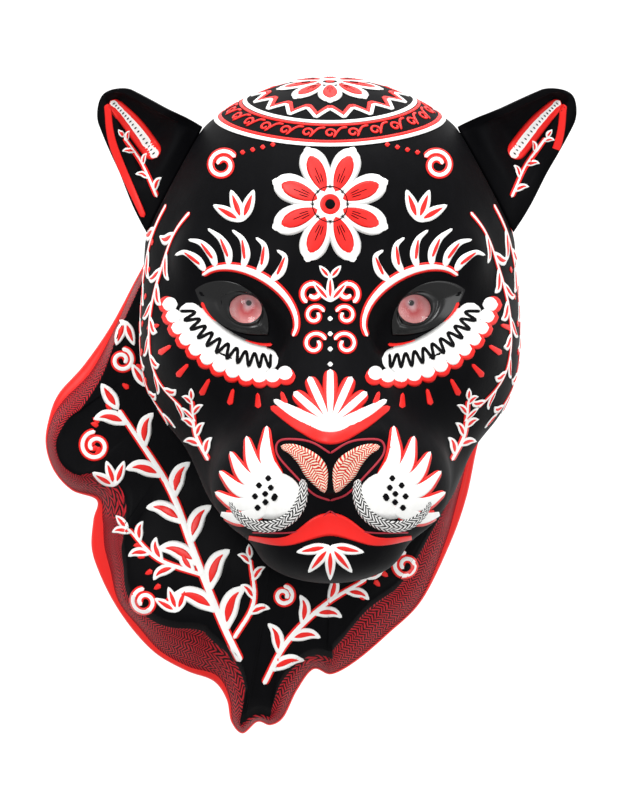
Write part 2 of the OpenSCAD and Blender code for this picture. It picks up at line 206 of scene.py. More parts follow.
def hollow_head(p):
    d = carved_head(p)
    p = p.astype(np.float32)
    q = np.stack([np.abs(p[:, 0]), -p[:, 1], p[:, 2]], 1)
    hollow = join(lump(q, (0, 40, -62), (92, 60, 88)), lump(q, (0, 88, -160), (46, 46, 40)), 20)
    d = cut(d, hollow, 1.5)
    # the flats that the ears are glued to
    seat = q[:, 0] * math.cos(SEAT_ANGLE) + (q[:, 2] - SKULL[2]) * math.sin(SEAT_ANGLE) - SEAT_REACH
    d = cut(d, -seat, 2)
    from_eye = (q - np.array([50, 114, -89.5], np.float32)) * np.array([1, 0.62, 1], np.float32)
    d = cut(d, np.linalg.norm(from_eye, axis=1) - 12.2, 1.5)         # eye sockets
    return cut(d, q[:, 1] - JOINT_DEPTH, 3)


# %% Skin a field with even quads
def skin(name, field, low, high, pitch):
    low = np.array(low, float)
    counts = np.ceil((np.array(high) - low) / pitch).astype(int) + 1
    axes = [low[i] + pitch * np.arange(counts[i]) for i in range(3)]
    coarse = np.stack(np.meshgrid(*[a[::4] for a in axes], indexing="ij"), -1)
    values = field(coarse.reshape(-1, 3)).reshape(coarse.shape[:3])
    for axis in range(3):
        values = np.repeat(values, 4, axis=axis)
    values = values[:counts[0], :counts[1], :counts[2]].copy()
    reach = 8.5 * pitch
    near = np.argwhere(np.abs(values) < reach)
    values[tuple(near.T)] = field(low + near * pitch)
    grid = openvdb.FloatGrid()
    grid.background = reach
    grid.copyFromArray(values.astype(np.float32))
    points, quads = grid.convertToQuads(isovalue=0)
    points = low + points.astype(float) * pitch
    step = np.eye(3) * 0.2
    for _ in range(2):                                   # slide each point onto the true surface
        d = field(points)
        slope = np.stack([(field(points + e) - field(points - e)) / 0.4 for e in step], 1)
        move = d[:, None] * slope / np.maximum((slope ** 2).sum(1), 0.2)[:, None]
        points -= np.clip(move, -0.6 * pitch, 0.6 * pitch)
    piece = face_outwards(mesh_object(name, points * MM, quads))
    print(name, len(quads), "quads")
    return piece


head = skin("head", hollow_head, (-118, -202, -262), (118, -24, 56), 2.0)
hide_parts("head_shell")
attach(head, "mask")

# %% [markdown]
# ## The flared neck
# The neck is a thick board with a lobed outline, hollowed from behind. Its rim slopes back to the wall in a
# broad band, and its front swells into a throat. Such a shape is a loft: the same cross-section is carried
# round the outline, and each row of the table says how far the rim's band reaches in and how deep it is.
# The flat back is eased round the tight lobes, so that it folds over itself less.
# At the tightest it still does.

# %% Outline rows: x, z, lip, band width, depth of the band's inner edge, in mm
NECK_ROWS = np.array([
    (0, 44, 1, 3, 30), (40, 36, 1, 3, 30), (74, 14, 1, 3, 30), (96, -18, 1, 3, 30),
    (104, -56, 1, 3, 30), (103, -92, 1, 3, 30), (99, -124, 1, 3, 30), (95, -150, 1, 3, 30),
    (89, -176, 4, 3, 29), (83, -204, 5, 5, 28), (73, -232, 3, 11, 30), (56, -266, 1, 16, 33),
    (36, -286, 1, 19, 34), (16, -303, 1, 15, 31), (1, -311, 1, 11, 28), (-10, -308, 1, 8, 25),
    (-20, -321, 1, 10, 24), (-28, -337, 1, 8, 20), (-36, -342, 1, 5, 17), (-44, -340, 1, 4, 17),
    (-53, -347, 1, 6, 19), (-60, -340, 1, 8, 22), (-63, -326, 2, 11, 26), (-71, -315, 4, 15, 31),
    (-87, -309, 3, 24, 35), (-105, -299, 3, 18, 34), (-119, -285, 4, 9, 30), (-131, -268, 3, 7, 27),
    (-140, -250, 7, 9, 27), (-145, -234, 8, 11, 29), (-144, -217, 6, 14, 31), (-142, -205, 2, 15, 31),
    (-157, -199, 1, 10, 29), (-168, -187, 1, 6, 26), (-173, -171, 1, 6, 25), (-171, -155, 2, 9, 27),
    (-165, -140, 5, 12, 30), (-150, -123, 6, 8, 31), (-134, -100, 3, 4, 30), (-120, -74, 1, 4, 30),
    (-110, -54, 1, 3, 30), (-98, -18, 1, 3, 30), (-74, 14, 1, 3, 30), (-40, 36, 1, 3, 30)], float)
LIP_DEPTH, BACK_LAND, NECK_WALL = 6, 13, 13


def between(a, b, c, d, t):
    """A smooth curve from b to c, as t goes from 0 to 1; a and d are the points before and after."""
    return 0.5 * (2 * b + t * (c - a) + t * t * (2 * a - 5 * b + 4 * c - d)
                  + t ** 3 * (3 * b - a - 3 * c + d))


def closed_spline(rows, steps):
    a, b, c, d = (np.roll(rows, k, axis=0)[:, None, :] for k in (1, 0, -1, -2))
    t = (np.arange(steps) / steps)[None, :, None]
    return between(a, b, c, d, t).reshape(-1, rows.shape[1])


def throat_swell(q):
    u = (q[..., 0] + 22) / 68
    v = (q[..., 1] + 252) / np.where(q[..., 1] > -252, 30, 56)
    fade = np.clip((-q[..., 1] - 188) / 24, 0, 1)
    return 28 * np.exp(-(u * u + v * v) / 2) * fade * fade * (3 - 2 * fade)


# %% Sections round the neck
rows = closed_spline(NECK_ROWS, 12)
edge = rows[:, :2]
ahead = np.roll(edge, -1, axis=0) - np.roll(edge, 1, axis=0)
inward = np.stack([ahead[:, 1], -ahead[:, 0]], 1) / np.linalg.norm(ahead, axis=1)[:, None]
lip = edge + rows[:, 2:3] * inward
crest = edge + (rows[:, 2] + rows[:, 3])[:, None] * inward
turn = np.arctan2((edge[:, 1] + 62) / 86, edge[:, 0] / 90)
hole = np.stack([90 * np.cos(turn), -62 + 86 * np.sin(turn)], 1)
eased_inward = np.mean([np.roll(inward, k, axis=0) for k in range(-10, 11)], axis=0)
land = edge + BACK_LAND * eased_inward
rim_depth = np.where(edge[:, 1] > -190, np.minimum(rows[:, 4], JOINT_DEPTH), rows[:, 4])

section = [(edge, 0), (edge, 2.5), (edge + 0.2 * (lip - edge), 4.6), (edge + 0.6 * (lip - edge), 5.7),
           (lip, LIP_DEPTH)]
band_first = len(section) - 1
for f in (0.1, 0.22, 0.36, 0.5, 0.64, 0.78, 0.9, 1.0):
    section.append((lip + f * (crest - lip),
                    LIP_DEPTH + (rim_depth - LIP_DEPTH) * f + 3.2 * math.sin(math.pi * f)))
band_last = len(section) - 1
for f in (0.03, 0.07, 0.12, 0.18, 0.24, 0.3, 0.37, 0.44, 0.52, 0.6, 0.7, 0.8, 0.9, 1.0):
    q = crest + f * (hole - crest)
    settle = f if f > 0.5 else 2 * f * (1 - f)
    section.append((q, rim_depth + (JOINT_DEPTH - rim_depth) * min(1, 2 * settle) + throat_swell(q)))
hollow_behind = np.linalg.norm(hole - land, axis=1) > 12
for f in (1.0, 0.5, 0.15):
    q = land + f * (hole - land)
    section.append((q, np.where(hollow_behind,
                                JOINT_DEPTH - NECK_WALL + (0.8 * throat_swell(q) if f < 1 else 0), 0)))
section.append((land, 0))


def ring_loft(name, rings, wrap=True):
    """rings is an array of rows x points x 3; both ways round close up when wrap is True."""
    n, m = rings.shape[:2]
    i, j = np.meshgrid(np.arange(n if wrap else n - 1), np.arange(m), indexing="ij")
    i2, j2 = (i + 1) % n, (j + 1) % m
    faces = np.stack([i * m + j, i2 * m + j, i2 * m + j2, i * m + j2], -1).reshape(-1, 4)
    return mesh_object(name, rings.reshape(-1, 3), faces)


rings = np.stack([np.stack([q[:, 0], -np.broadcast_to(d, len(q)), q[:, 1]], 1) for q, d in section], 1)
neck = ring_loft("neck", rings * MM)
print("neck", len(neck.data.polygons), "faces,", rings.shape[1], "points a section")

# %% Which faces are the rim's band, and where each point lies on it
around = np.concatenate([[0], np.cumsum(np.linalg.norm(np.diff(edge, axis=0), axis=1))])
section_points = rings.shape[1]
steps_across = np.linalg.norm(np.diff(rings, axis=1), axis=2)
steps_across[:, :band_first] = 0
across = np.concatenate([np.zeros((len(edge), 1)), np.cumsum(steps_across, axis=1)], axis=1)
for label, values in (("around", np.repeat(around, section_points)), ("across", across.ravel())):
    neck.data.attributes.new(label, "FLOAT", "POINT").data.foreach_set("value", values.astype(np.float32))
column_of_face = np.tile(np.arange(section_points), len(edge))
NECK_BLACK, NECK_RED, NECK_BAND = 0, 1, 2
zone = np.where(column_of_face < band_first, NECK_RED,
                np.where(column_of_face < band_last, NECK_BAND, NECK_BLACK))
top_rows = np.repeat(edge[:, 1] > -60, section_points)
zone[top_rows] = NECK_BLACK
neck.data.polygons.foreach_set("material_index", zone.astype(np.int32))
face_outwards(neck)
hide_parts("neck_ruff")
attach(neck, "mask")

# %% [markdown]
# ## The ears
# Each ear is a thick cupped leaf glued to a flat seat on the skull. Its section is a bow behind and a scoop
# in front, and it shrinks and turns towards the tip, so it is a second loft, drawn once and mirrored. The
# right one is longer.


# %% Ear sections from the seat to the tip
def ease(a, b, s):
    t = max(0.0, min(1.0, (s - a) / (b - a)))
    return t * t * (3 - 2 * t)


SEAT = np.array([93.6, 50.0, -11.3])


def ear_section(s, tip):
    tip_round = math.sqrt(1 - 0.995 * max(0, (s - 0.84) / 0.16) ** 2)
    w = (10 + 26 * (1 - s) ** 0.85) * tip_round
    t = (24 - 15 * s) * tip_round
    scoop = -1.5 + (0.7 * t + 1.5) * (ease(0.14, 0.4, s) - ease(0.86, 1, s))
    band, rear = min(13, w * 0.75), min(4.5, w * 0.3)
    a = np.radians(np.linspace(0, 180, 29))
    across = np.stack([w * np.cos(a), -t * np.sin(a)], 1)
    a = np.radians(np.linspace(180, 0, 29))[1:-1]
    back = np.stack([(band - rear) / 2 + (w - (band + rear) / 2) * np.cos(a), -scoop * np.sin(a)], 1)
    flat = np.linspace(back[-1], across[0], 7)[1:-1]
    q = np.concatenate([across, back, flat])
    middle = SEAT + s * (tip - SEAT) + np.array([0, 12 - 2 * s, 0])
    lean, yaw = math.radians(28 + 20 * s), math.radians(24) * ease(0, 0.5, s)
    u = q[:, 0] * math.cos(yaw) - q[:, 1] * math.sin(yaw)
    v = q[:, 1] * math.cos(yaw) + q[:, 0] * math.sin(yaw)
    upward = np.array([-math.sin(lean), 0, math.cos(lean)])
    p = middle + u[:, None] * upward + v[:, None] * np.array([0, 1, 0])
    return np.stack([p[:, 0], -p[:, 1], p[:, 2]], 1)


def make_ear(name, part, side, tip_x):
    tip = np.array([tip_x, 62.0, 40.0])
    along = [math.sin(math.radians(90) * i / 56) for i in range(57)]
    rings = np.array([ear_section(s, tip) for s in along])
    rings[:, :, 0] *= side
    piece = ring_loft(name, rings * MM, wrap=False)
    n, m = rings.shape[:2]
    mesh = piece.data
    faces = [tuple(p.vertices) for p in mesh.polygons] + [tuple(range(m)),
                                                          tuple(reversed(range((n - 1) * m, n * m)))]
    points = [tuple(v.co) for v in mesh.vertices]
    bpy.data.objects.remove(piece)
    piece = face_outwards(mesh_object(name, points, faces))
    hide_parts(part)
    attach(piece, "mask")
    print(name, len(piece.data.polygons), "faces")
    return piece


left_ear = make_ear("left_ear_carved", "left_ear", -1, 136)
right_ear = make_ear("right_ear_carved", "right_ear", 1, 145)

# %% [markdown]
# ## The eyes
# A craft eye is a solid glass dome over a painted disc. It sits in a socket, and the lids are modelled round
# it in putty. Glass, disc and lids are turned or lofted round the eye's own axis and then carried to the
# face, the same way on both sides.


# %% Eye axes
def eye_frame(side):
    place = Vector((side * EYE.x, EYE.y, EYE.z)) * MM
    turn_to_face = Euler((math.radians(90 + EYE_PITCH), 0, 0)).to_matrix()
    turn_aside = Euler((0, 0, math.radians(side * EYE_YAW))).to_matrix()
    return Matrix.Translation(place) @ (turn_aside @ turn_to_face).to_4x4()


def turned(name, profile, side, part):
    """A closed turned piece: profile is radius, height pairs in mm, from the axis round to the axis."""
    steps = 96
    a = np.radians(np.arange(steps) * 360 / steps)
    rings = np.array([[(r * math.cos(t), r * math.sin(t), z) for t in a] for r, z in profile[1:-1]]) * MM
    n = len(rings)
    points = [tuple(p) for p in rings.reshape(-1, 3)] + [(0, 0, profile[0][1] * MM),
                                                         (0, 0, profile[-1][1] * MM)]
    faces = [(n * steps, j, (j + 1) % steps) for j in range(steps)]
    faces += [(i * steps + j, (i + 1) * steps + j, (i + 1) * steps + (j + 1) % steps,
               i * steps + (j + 1) % steps)
              for i in range(n - 1) for j in range(steps)]
    faces += [(n * steps + 1, (n - 1) * steps + (j + 1) % steps, (n - 1) * steps + j) for j in range(steps)]
    piece = mesh_object(name, points, faces)
    radius = [math.hypot(p[0], p[1]) / (profile[-2][0] * MM) for p in points]
    spin = [math.atan2(p[1], side * p[0]) / math.tau + 0.5 for p in points]
    for label, values in (("radius_share", radius), ("spin_share", spin)):
        piece.data.attributes.new(label, "FLOAT", "POINT").data.foreach_set("value", values)
    flat = [(p[0] * side, p[1], 0) for p in points]
    on_disc = piece.data.attributes.new("on_disc", "FLOAT_VECTOR", "POINT")
    on_disc.data.foreach_set("vector", np.array(flat).ravel())
    piece.data.transform(eye_frame(side))
    face_outwards(piece)
    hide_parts(part)
    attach(piece, "mask")
    return piece


# %% Glass domes and the discs behind them
DOME_RADIUS, DOME_TOP, GLASS_RADIUS = 12.3, 7.0, 11.4
dome = [(0, DOME_TOP)] + [(DOME_RADIUS * math.sin(t), DOME_TOP - DOME_RADIUS * (1 - math.cos(t)))
                          for t in np.linspace(0.04, math.asin(GLASS_RADIUS / DOME_RADIUS), 22)]
glass_profile = dome + [(GLASS_RADIUS, -4.6), (GLASS_RADIUS - 0.4, -5), (0, -5)]
disc_profile = ([(0, -5.1)] + [(GLASS_RADIUS * k / 24, -5.1 - 0.15 * (k / 24) ** 2) for k in range(1, 25)]
                + [(GLASS_RADIUS, -6.3), (0, -6.3)])
eyes = []
for side, word in ((-1, "left"), (1, "right")):
    glass = turned(word + "_glass_eye", glass_profile, side, word + "_eye_glass")
    disc = turned(word + "_iris", disc_profile, side, word + "_iris_disc")
    eyes.append((glass, disc))
print("eyes", [o.name for pair in eyes for o in pair])


# %% Lids: rings from the glass out to the almond's edge
def almond_reach(angle):
    """Distance from the eye's axis to the almond's edge, in mm, in the eye's own plane (+x is outwards)."""
    c, s = math.cos(-LID_ROLL), math.sin(-LID_ROLL)
    d = np.array([math.cos(angle) * c - math.sin(angle) * s, math.cos(angle) * s + math.sin(angle) * c])
    reach = []
    for centre, radius in (((6.4, -6.5 + 18 - 28.6), 28.6), ((6.4, -6.5 - 9.5 + 42), 42)):
        b = d @ np.array(centre)
        reach.append(b + math.sqrt(max(b * b - (centre[0] ** 2 + centre[1] ** 2) + radius * radius, 0)))
    return min(reach)


def depth_along(points, direction, field):
    """How far each point has to go along direction to meet the surface, starting outside."""
    gone = np.zeros(len(points))
    for _ in range(60):
        gone += 0.7 * np.clip(field(points + gone[:, None] * direction), -2, 2)
    return gone


def make_lids(name, side, part):
    angles = np.radians(np.arange(0, 360, 2.5))
    into_face = eye_frame(side)
    away = np.array(into_face.to_3x3() @ Vector((0, 0, 1)))
    edge = np.array([almond_reach(a) for a in angles])
    opening = np.array([9.7 * 8.5 / math.hypot(8.5 * math.cos(a), 9.7 * math.sin(a)) for a in angles])
    dirs = np.stack([side * np.cos(angles), np.sin(angles)], 1)
    rim = np.array([into_face @ Vector((*(d * e * MM), 0)) for d, e in zip(dirs, edge)]) / MM
    outer = 14 - depth_along(rim + 14 * away, -away, carved_head)
    on_glass = DOME_TOP - DOME_RADIUS + np.sqrt(DOME_RADIUS ** 2 - opening ** 2)
    rings = []
    for share, lift in ((0, -1.6), (0, 0.2), (0.02, 0.9), (0.07, 1.3), (0.13, 1.2), (0.19, 0.6),
                        (0.25, 0.35), (0.31, 0.9), (0.4, 1.25), (0.5, 1.2), (0.62, 0.9), (0.74, 0.7),
                        (0.86, 0.5), (0.95, 0.3), (1, -0.4)):
        r = opening + share * np.maximum(edge - opening, 0.4)
        level = on_glass + (outer - on_glass) * share ** 0.8 + lift
        rings.append(np.column_stack([dirs * r[:, None], level]))
    base = np.minimum(outer - 3, -1.5)
    for share in (1, 0.4, 0):
        r = opening + share * np.maximum(edge - opening, 0.4)
        rings.append(np.column_stack([dirs * r[:, None], base if share == 1 else np.minimum(base, 0)]))
    piece = ring_loft(name, np.array(rings) * MM)
    piece.data.transform(into_face)
    face_outwards(piece)
    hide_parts(part)
    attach(piece, "mask")
    return piece


lids = [make_lids("left_putty_lids", -1, "left_eyelids"), make_lids("right_putty_lids", 1, "right_eyelids")]
print("lids", len(lids[0].data.polygons), "faces each")

# %% [markdown]
# ## The painted strokes
# The decoration is hundreds of brush strokes that all follow the carved surface. One Geometry Nodes tree lays
# them: a flat drawing of lines, each point with its own half width, becomes a ribbon with a domed top. Every
# point of the ribbon is then sent along a line to the wood. The top is set just above it, and the underside
# a little into it. The lines start outside a globe and run to its middle, so a small globe wraps a drawing
# round the crown, and a very large one acts as a straight projector.


# %% A short way to build node trees
class Tree:
    def __init__(self, name, kind):
        self.tree = bpy.data.node_groups.new(name, kind)
        self.inlet = self.tree.nodes.new("NodeGroupInput")
        self.outlet = self.tree.nodes.new("NodeGroupOutput")

    def takes(self, name, kind, value=None):
        socket = self.tree.interface.new_socket(name, in_out="INPUT", socket_type=kind)
        if value is not None:
            socket.default_value = value
        return self.inlet.outputs[name]

    def gives(self, name, kind, source):
        self.tree.interface.new_socket(name, in_out="OUTPUT", socket_type=kind)
        self.tree.links.new(source, self.outlet.inputs[name])

    def node(self, kind, sockets=(), **settings):
        return put_node(self.tree, kind, sockets, **settings)

    def math(self, operation, *values):
        return self.node("ShaderNodeMath", list(enumerate(values)), operation=operation).outputs[0]

    def vector(self, operation, *values, output=0, **named):
        sockets = list(enumerate(values)) + list(named.items())
        return self.node("ShaderNodeVectorMath", sockets, operation=operation).outputs[output]


def put_node(tree, kind, sockets=(), **settings):
    node = tree.nodes.new(kind)
    for key, value in settings.items():
        setattr(node, key, value)
    for key, value in (sockets.items() if isinstance(sockets, dict) else sockets):
        if isinstance(value, bpy.types.NodeSocket):
            tree.links.new(value, node.inputs[key])
        elif value is not None:
            node.inputs[key].default_value = value
    return node


# %% The stroke-laying tree
strokes_tree = Tree("Brush strokes on wood", "GeometryNodeTree")
drawing = strokes_tree.takes("Drawing", "NodeSocketGeometry")
wood = strokes_tree.takes("Wood", "NodeSocketObject")
paint = strokes_tree.takes("Paint", "NodeSocketMaterial")
step = strokes_tree.takes("Step", "NodeSocketFloat", 0.0012)
columns = strokes_tree.takes("Columns", "NodeSocketInt", 8)
lift = strokes_tree.takes("Lift", "NodeSocketFloat", 0.0002)
body = strokes_tree.takes("Body", "NodeSocketFloat", 0.0003)
root = strokes_tree.takes("Root", "NodeSocketFloat", 0.0008)
aim = strokes_tree.takes("Aim", "NodeSocketRotation")
centre = strokes_tree.takes("Globe centre", "NodeSocketVector")
globe = strokes_tree.takes("Globe radius", "NodeSocketFloat", 20.0)

n = strokes_tree.node
line = n("GeometryNodeResampleCurve", {"Curve": drawing, "Length": step}, mode="LENGTH")
line = n("GeometryNodeStoreNamedAttribute", {"Geometry": line.outputs[0], "Name": "along",
         "Value": n("GeometryNodeSplineParameter").outputs["Length"]}, data_type="FLOAT", domain="POINT")
line = n("GeometryNodeSetCurveNormal", {"Curve": line.outputs[0]}, mode="Z_UP")
ring = n("GeometryNodeCurvePrimitiveCircle", {"Resolution": columns, "Radius": 1.0}, mode="RADIUS")
place = n("ShaderNodeSeparateXYZ", {0: n("GeometryNodeInputPosition").outputs[0]})
ring = n("GeometryNodeStoreNamedAttribute", {"Geometry": ring.outputs[0], "Name": "across",
                                             "Value": place.outputs[0]},
         data_type="FLOAT", domain="POINT")
ring = n("GeometryNodeStoreNamedAttribute", {"Geometry": ring.outputs[0], "Name": "rise",
                                             "Value": place.outputs[1]},
         data_type="FLOAT", domain="POINT")
ribbon = n("GeometryNodeCurveToMesh", {"Curve": line.outputs[0], "Profile Curve": ring.outputs[0],
                                       "Fill Caps": True})
if "Scale" in ribbon.inputs:
    strokes_tree.tree.links.new(n("GeometryNodeInputRadius").outputs[0], ribbon.inputs["Scale"])

flat = n("ShaderNodeSeparateXYZ", {0: n("GeometryNodeInputPosition").outputs[0]})
on_sheet = n("ShaderNodeCombineXYZ", {0: flat.outputs[0], 1: flat.outputs[1]}).outputs[0]
angle = strokes_tree.math("DIVIDE", strokes_tree.vector("LENGTH", on_sheet, output="Value"), globe)
sideways = strokes_tree.vector("SCALE", strokes_tree.vector("NORMALIZE", on_sheet),
                               Scale=strokes_tree.math("SINE", angle))
upright = n("ShaderNodeCombineXYZ", {2: strokes_tree.math("COSINE", angle)}).outputs[0]
outward = n("FunctionNodeRotateVector", {"Vector": strokes_tree.vector("ADD", sideways, upright),
                                         "Rotation": aim}).outputs[0]
RUN_UP, LONGEST_RAY = 0.3, 0.7
from_centre = strokes_tree.vector("SCALE", (1, 1, 1), Scale=strokes_tree.math("ADD", globe, RUN_UP))
start = strokes_tree.vector("MULTIPLY_ADD", outward, from_centre, centre)
surface = n("GeometryNodeObjectInfo", {"Object": wood}).outputs["Geometry"]
hit = n("GeometryNodeRaycast", {"Target Geometry": surface, "Source Position": start,
        "Ray Length": LONGEST_RAY,
        "Ray Direction": strokes_tree.vector("SCALE", outward, Scale=-1.0)})
rise = n("GeometryNodeInputNamedAttribute", {"Name": "rise"}, data_type="FLOAT").outputs["Attribute"]
above = strokes_tree.math("MULTIPLY_ADD", strokes_tree.math("MAXIMUM", rise, 0.0), body, lift)
height = strokes_tree.math("MULTIPLY_ADD", strokes_tree.math("MINIMUM", rise, 0.0), root, above)
laid = strokes_tree.vector("MULTIPLY_ADD", hit.outputs["Hit Normal"],
                           strokes_tree.vector("SCALE", (1, 1, 1), Scale=height),
                           hit.outputs["Hit Position"])
ribbon = n("GeometryNodeStoreNamedAttribute", {"Geometry": ribbon.outputs[0], "Name": "missed",
           "Value": strokes_tree.math("SUBTRACT", 1.0, hit.outputs["Is Hit"])}, data_type="FLOAT",
           domain="POINT")
ribbon = n("GeometryNodeSetPosition", {"Geometry": ribbon.outputs[0], "Position": laid})
ribbon = n("GeometryNodeRealizeInstances", {"Geometry": ribbon.outputs[0]})
ribbon = n("GeometryNodeSetMaterial", {"Geometry": ribbon.outputs[0], "Material": paint})
ribbon = n("GeometryNodeSetShadeSmooth", {"Geometry": ribbon.outputs[0], "Shade Smooth": True})
strokes_tree.gives("Strokes", "NodeSocketGeometry", ribbon.outputs[0])
print("stroke tree:", len(strokes_tree.tree.nodes), "nodes")

# %% [markdown]
# ## Paints
# The colours are hand-laid paints: flat from far off, but close up they show streaks, thin places and small
# changes of gloss. That effect is shared by every paint here, so it is one node group, and each material
# gives it its own colours. The fine ticks on the rim, the nose and the whisker pads share a second group,
# which draws slanted marks in rows from two distances that are stored on the mesh.

# %% Streaky paint, as a group
hand_paint = Tree("Hand-laid paint", "ShaderNodeTree")
full = hand_paint.takes("Colour", "NodeSocketColor", (0.8, 0.1, 0.1, 1))
thin = hand_paint.takes("Thin colour", "NodeSocketColor", (0.5, 0.1, 0.1, 1))
size = hand_paint.takes("Streak size", "NodeSocketFloat", 1.0)
gloss_low = hand_paint.takes("Least rough", "NodeSocketFloat", 0.35)
gloss_high = hand_paint.takes("Most rough", "NodeSocketFloat", 0.55)
g = hand_paint.node
where = g("ShaderNodeTexCoord").outputs["Object"]
scaled = g("ShaderNodeMapping", {"Vector": where}, vector_type="POINT")
scaled.inputs["Scale"].default_value = (1, 1, 0.45)
patch_scale = hand_paint.math("MULTIPLY", size, 240.0)
patch = g("ShaderNodeTexNoise", {"Vector": scaled.outputs[0], "Scale": patch_scale,
                                 "Detail": 4.0, "Roughness": 0.6}).outputs["Fac"]
grit = g("ShaderNodeTexNoise", {"Vector": where, "Scale": hand_paint.math("MULTIPLY", size, 1500.0),
                                "Detail": 3.0}).outputs["Fac"]
broad = g("ShaderNodeTexNoise", {"Vector": where, "Scale": hand_paint.math("MULTIPLY", size, 35.0),
                                 "Detail": 2.0}).outputs["Fac"]
share = g("ShaderNodeMapRange", {0: patch, 1: 0.42, 2: 0.78, 3: 0.0, 4: 0.6}, clamp=True).outputs[0]
tone = g("ShaderNodeMix", {0: share, 6: full, 7: thin}, data_type="RGBA")
hand_paint.gives("Colour", "NodeSocketColor", tone.outputs[2])
rough = g("ShaderNodeMapRange", {0: broad, 1: 0.3, 2: 0.7, 3: gloss_low, 4: gloss_high},
          clamp=True).outputs[0]
hand_paint.gives("Roughness", "NodeSocketFloat", rough)
uneven = hand_paint.math("MULTIPLY_ADD", grit, 0.25, hand_paint.math("MULTIPLY", broad, 1.5))
hand_paint.gives("Height", "NodeSocketFloat", hand_paint.math("MULTIPLY_ADD", patch, 0.6, uneven))
print("streaky paint:", len(hand_paint.tree.nodes), "nodes")


# %% Rows of slanted ticks, as a group
ticks = Tree("Rows of ticks", "ShaderNodeTree")
along = ticks.takes("Along", "NodeSocketFloat", 0)
across_in = ticks.takes("Across", "NodeSocketFloat", 0)
pitch = ticks.takes("Tick pitch", "NodeSocketFloat", 1.6)
row = ticks.takes("Row width", "NodeSocketFloat", 4.0)
slant = ticks.takes("Slant", "NodeSocketFloat", 1.5)
filled = ticks.takes("Filled share", "NodeSocketFloat", 0.5)
g = ticks.node
wobble = g("ShaderNodeTexNoise", {"Vector": g("ShaderNodeTexCoord").outputs["Object"], "Scale": 160.0,
                                  "Detail": 2.0}).outputs["Fac"]
sway = ticks.math("MULTIPLY", ticks.math("SUBTRACT", wobble, 0.5), 3.0)
rows_in = ticks.math("DIVIDE", ticks.math("ADD", across_in, ticks.math("MULTIPLY", sway, 0.5)), row)
which = ticks.math("FLOOR", rows_in)
odd = ticks.math("SUBTRACT", ticks.math("MULTIPLY", ticks.math("PINGPONG", which, 1.0), 2.0), 1.0)
inside = ticks.math("SUBTRACT", rows_in, which)
gone_by = ticks.math("DIVIDE", ticks.math("ADD", along, sway), pitch)
leaning = ticks.math("MULTIPLY", ticks.math("MULTIPLY", odd, inside), slant)
phase = ticks.math("ADD", gone_by, ticks.math("ADD", leaning, ticks.math("MULTIPLY", which, 0.37)))
saw = ticks.math("ABSOLUTE", ticks.math("SUBTRACT", ticks.math("FRACT", phase), 0.5))
mark = g("ShaderNodeMapRange", {0: saw, 1: ticks.math("MULTIPLY_ADD", filled, 0.5, -0.06),
         2: ticks.math("MULTIPLY_ADD", filled, 0.5, 0.06), 3: 1.0, 4: 0.0}, clamp=True).outputs[0]
gap_edge = ticks.math("ABSOLUTE", ticks.math("SUBTRACT", inside, 0.5))
gap = g("ShaderNodeMapRange", {0: gap_edge, 1: 0.42, 2: 0.49, 3: 1.0, 4: 0.15}, clamp=True).outputs[0]
ticks.gives("Mark", "NodeSocketFloat", ticks.math("MULTIPLY", mark, gap))
print("rows of ticks:", len(ticks.tree.nodes), "nodes")


# %% Materials made from the groups
def rgb(r, g, b):
    """Turns a colour given from 0 to 255 to the linear values that shaders use."""
    linear = [((c / 255 + 0.055) / 1.055) ** 2.4 if c > 10 else c / 255 / 12.92 for c in (r, g, b)]
    return tuple(linear) + (1.0,)


def grouped_material(name, group_tree, values, bump, distance):
    """A material whose colour, roughness and relief come from a node group, with values of its own."""
    material = bpy.data.materials.new(name)
    material.use_nodes = True
    tree = material.node_tree
    shader = tree.nodes["Principled BSDF"]
    group = put_node(tree, "ShaderNodeGroup", node_tree=group_tree)
    for key, value in values.items():
        group.inputs[key].default_value = value
    raised = put_node(tree, "ShaderNodeBump",
                      {"Height": group.outputs["Height"], "Strength": bump, "Distance": distance})
    for source, target in ((group.outputs["Colour"], "Base Color"),
                           (group.outputs["Roughness"], "Roughness"),
                           (raised.outputs[0], "Normal")):
        tree.links.new(source, shader.inputs[target])
    return material, shader


def paint_material(name, colour, thin_colour, streaks=1.0, rough=(0.35, 0.55), bump=0.25, coat=0.0,
                   shine=0.3):
    values = {"Colour": colour, "Thin colour": thin_colour, "Streak size": streaks,
              "Least rough": rough[0], "Most rough": rough[1]}
    material, shader = grouped_material(name, hand_paint.tree, values, bump, 0.0006)
    shader.inputs["Coat Weight"].default_value = coat
    shader.inputs["Specular IOR Level"].default_value = shine
    shader.inputs["Coat Roughness"].default_value = 0.25
    return material


BLACK, RED, WHITE, CRIMSON = rgb(5, 5, 7), rgb(238, 30, 24), rgb(250, 250, 248), rgb(168, 36, 52)
black_paint = paint_material("black_paint", BLACK, rgb(10, 10, 13), 0.7, (0.5, 0.68), 0.4, shine=0.06)
red_paint = paint_material("red_paint", RED, rgb(236, 38, 34), 1.0, (0.35, 0.5))
white_paint = paint_material("white_paint", WHITE, rgb(240, 239, 234), 1.0, (0.4, 0.55))
crimson_paint = paint_material("crimson_paint", CRIMSON, rgb(150, 36, 52), 1.0, (0.4, 0.55))
fine_black = paint_material("fine_black_paint", rgb(5, 5, 7), rgb(12, 12, 15), 1.0, (0.5, 0.6), shine=0.06)


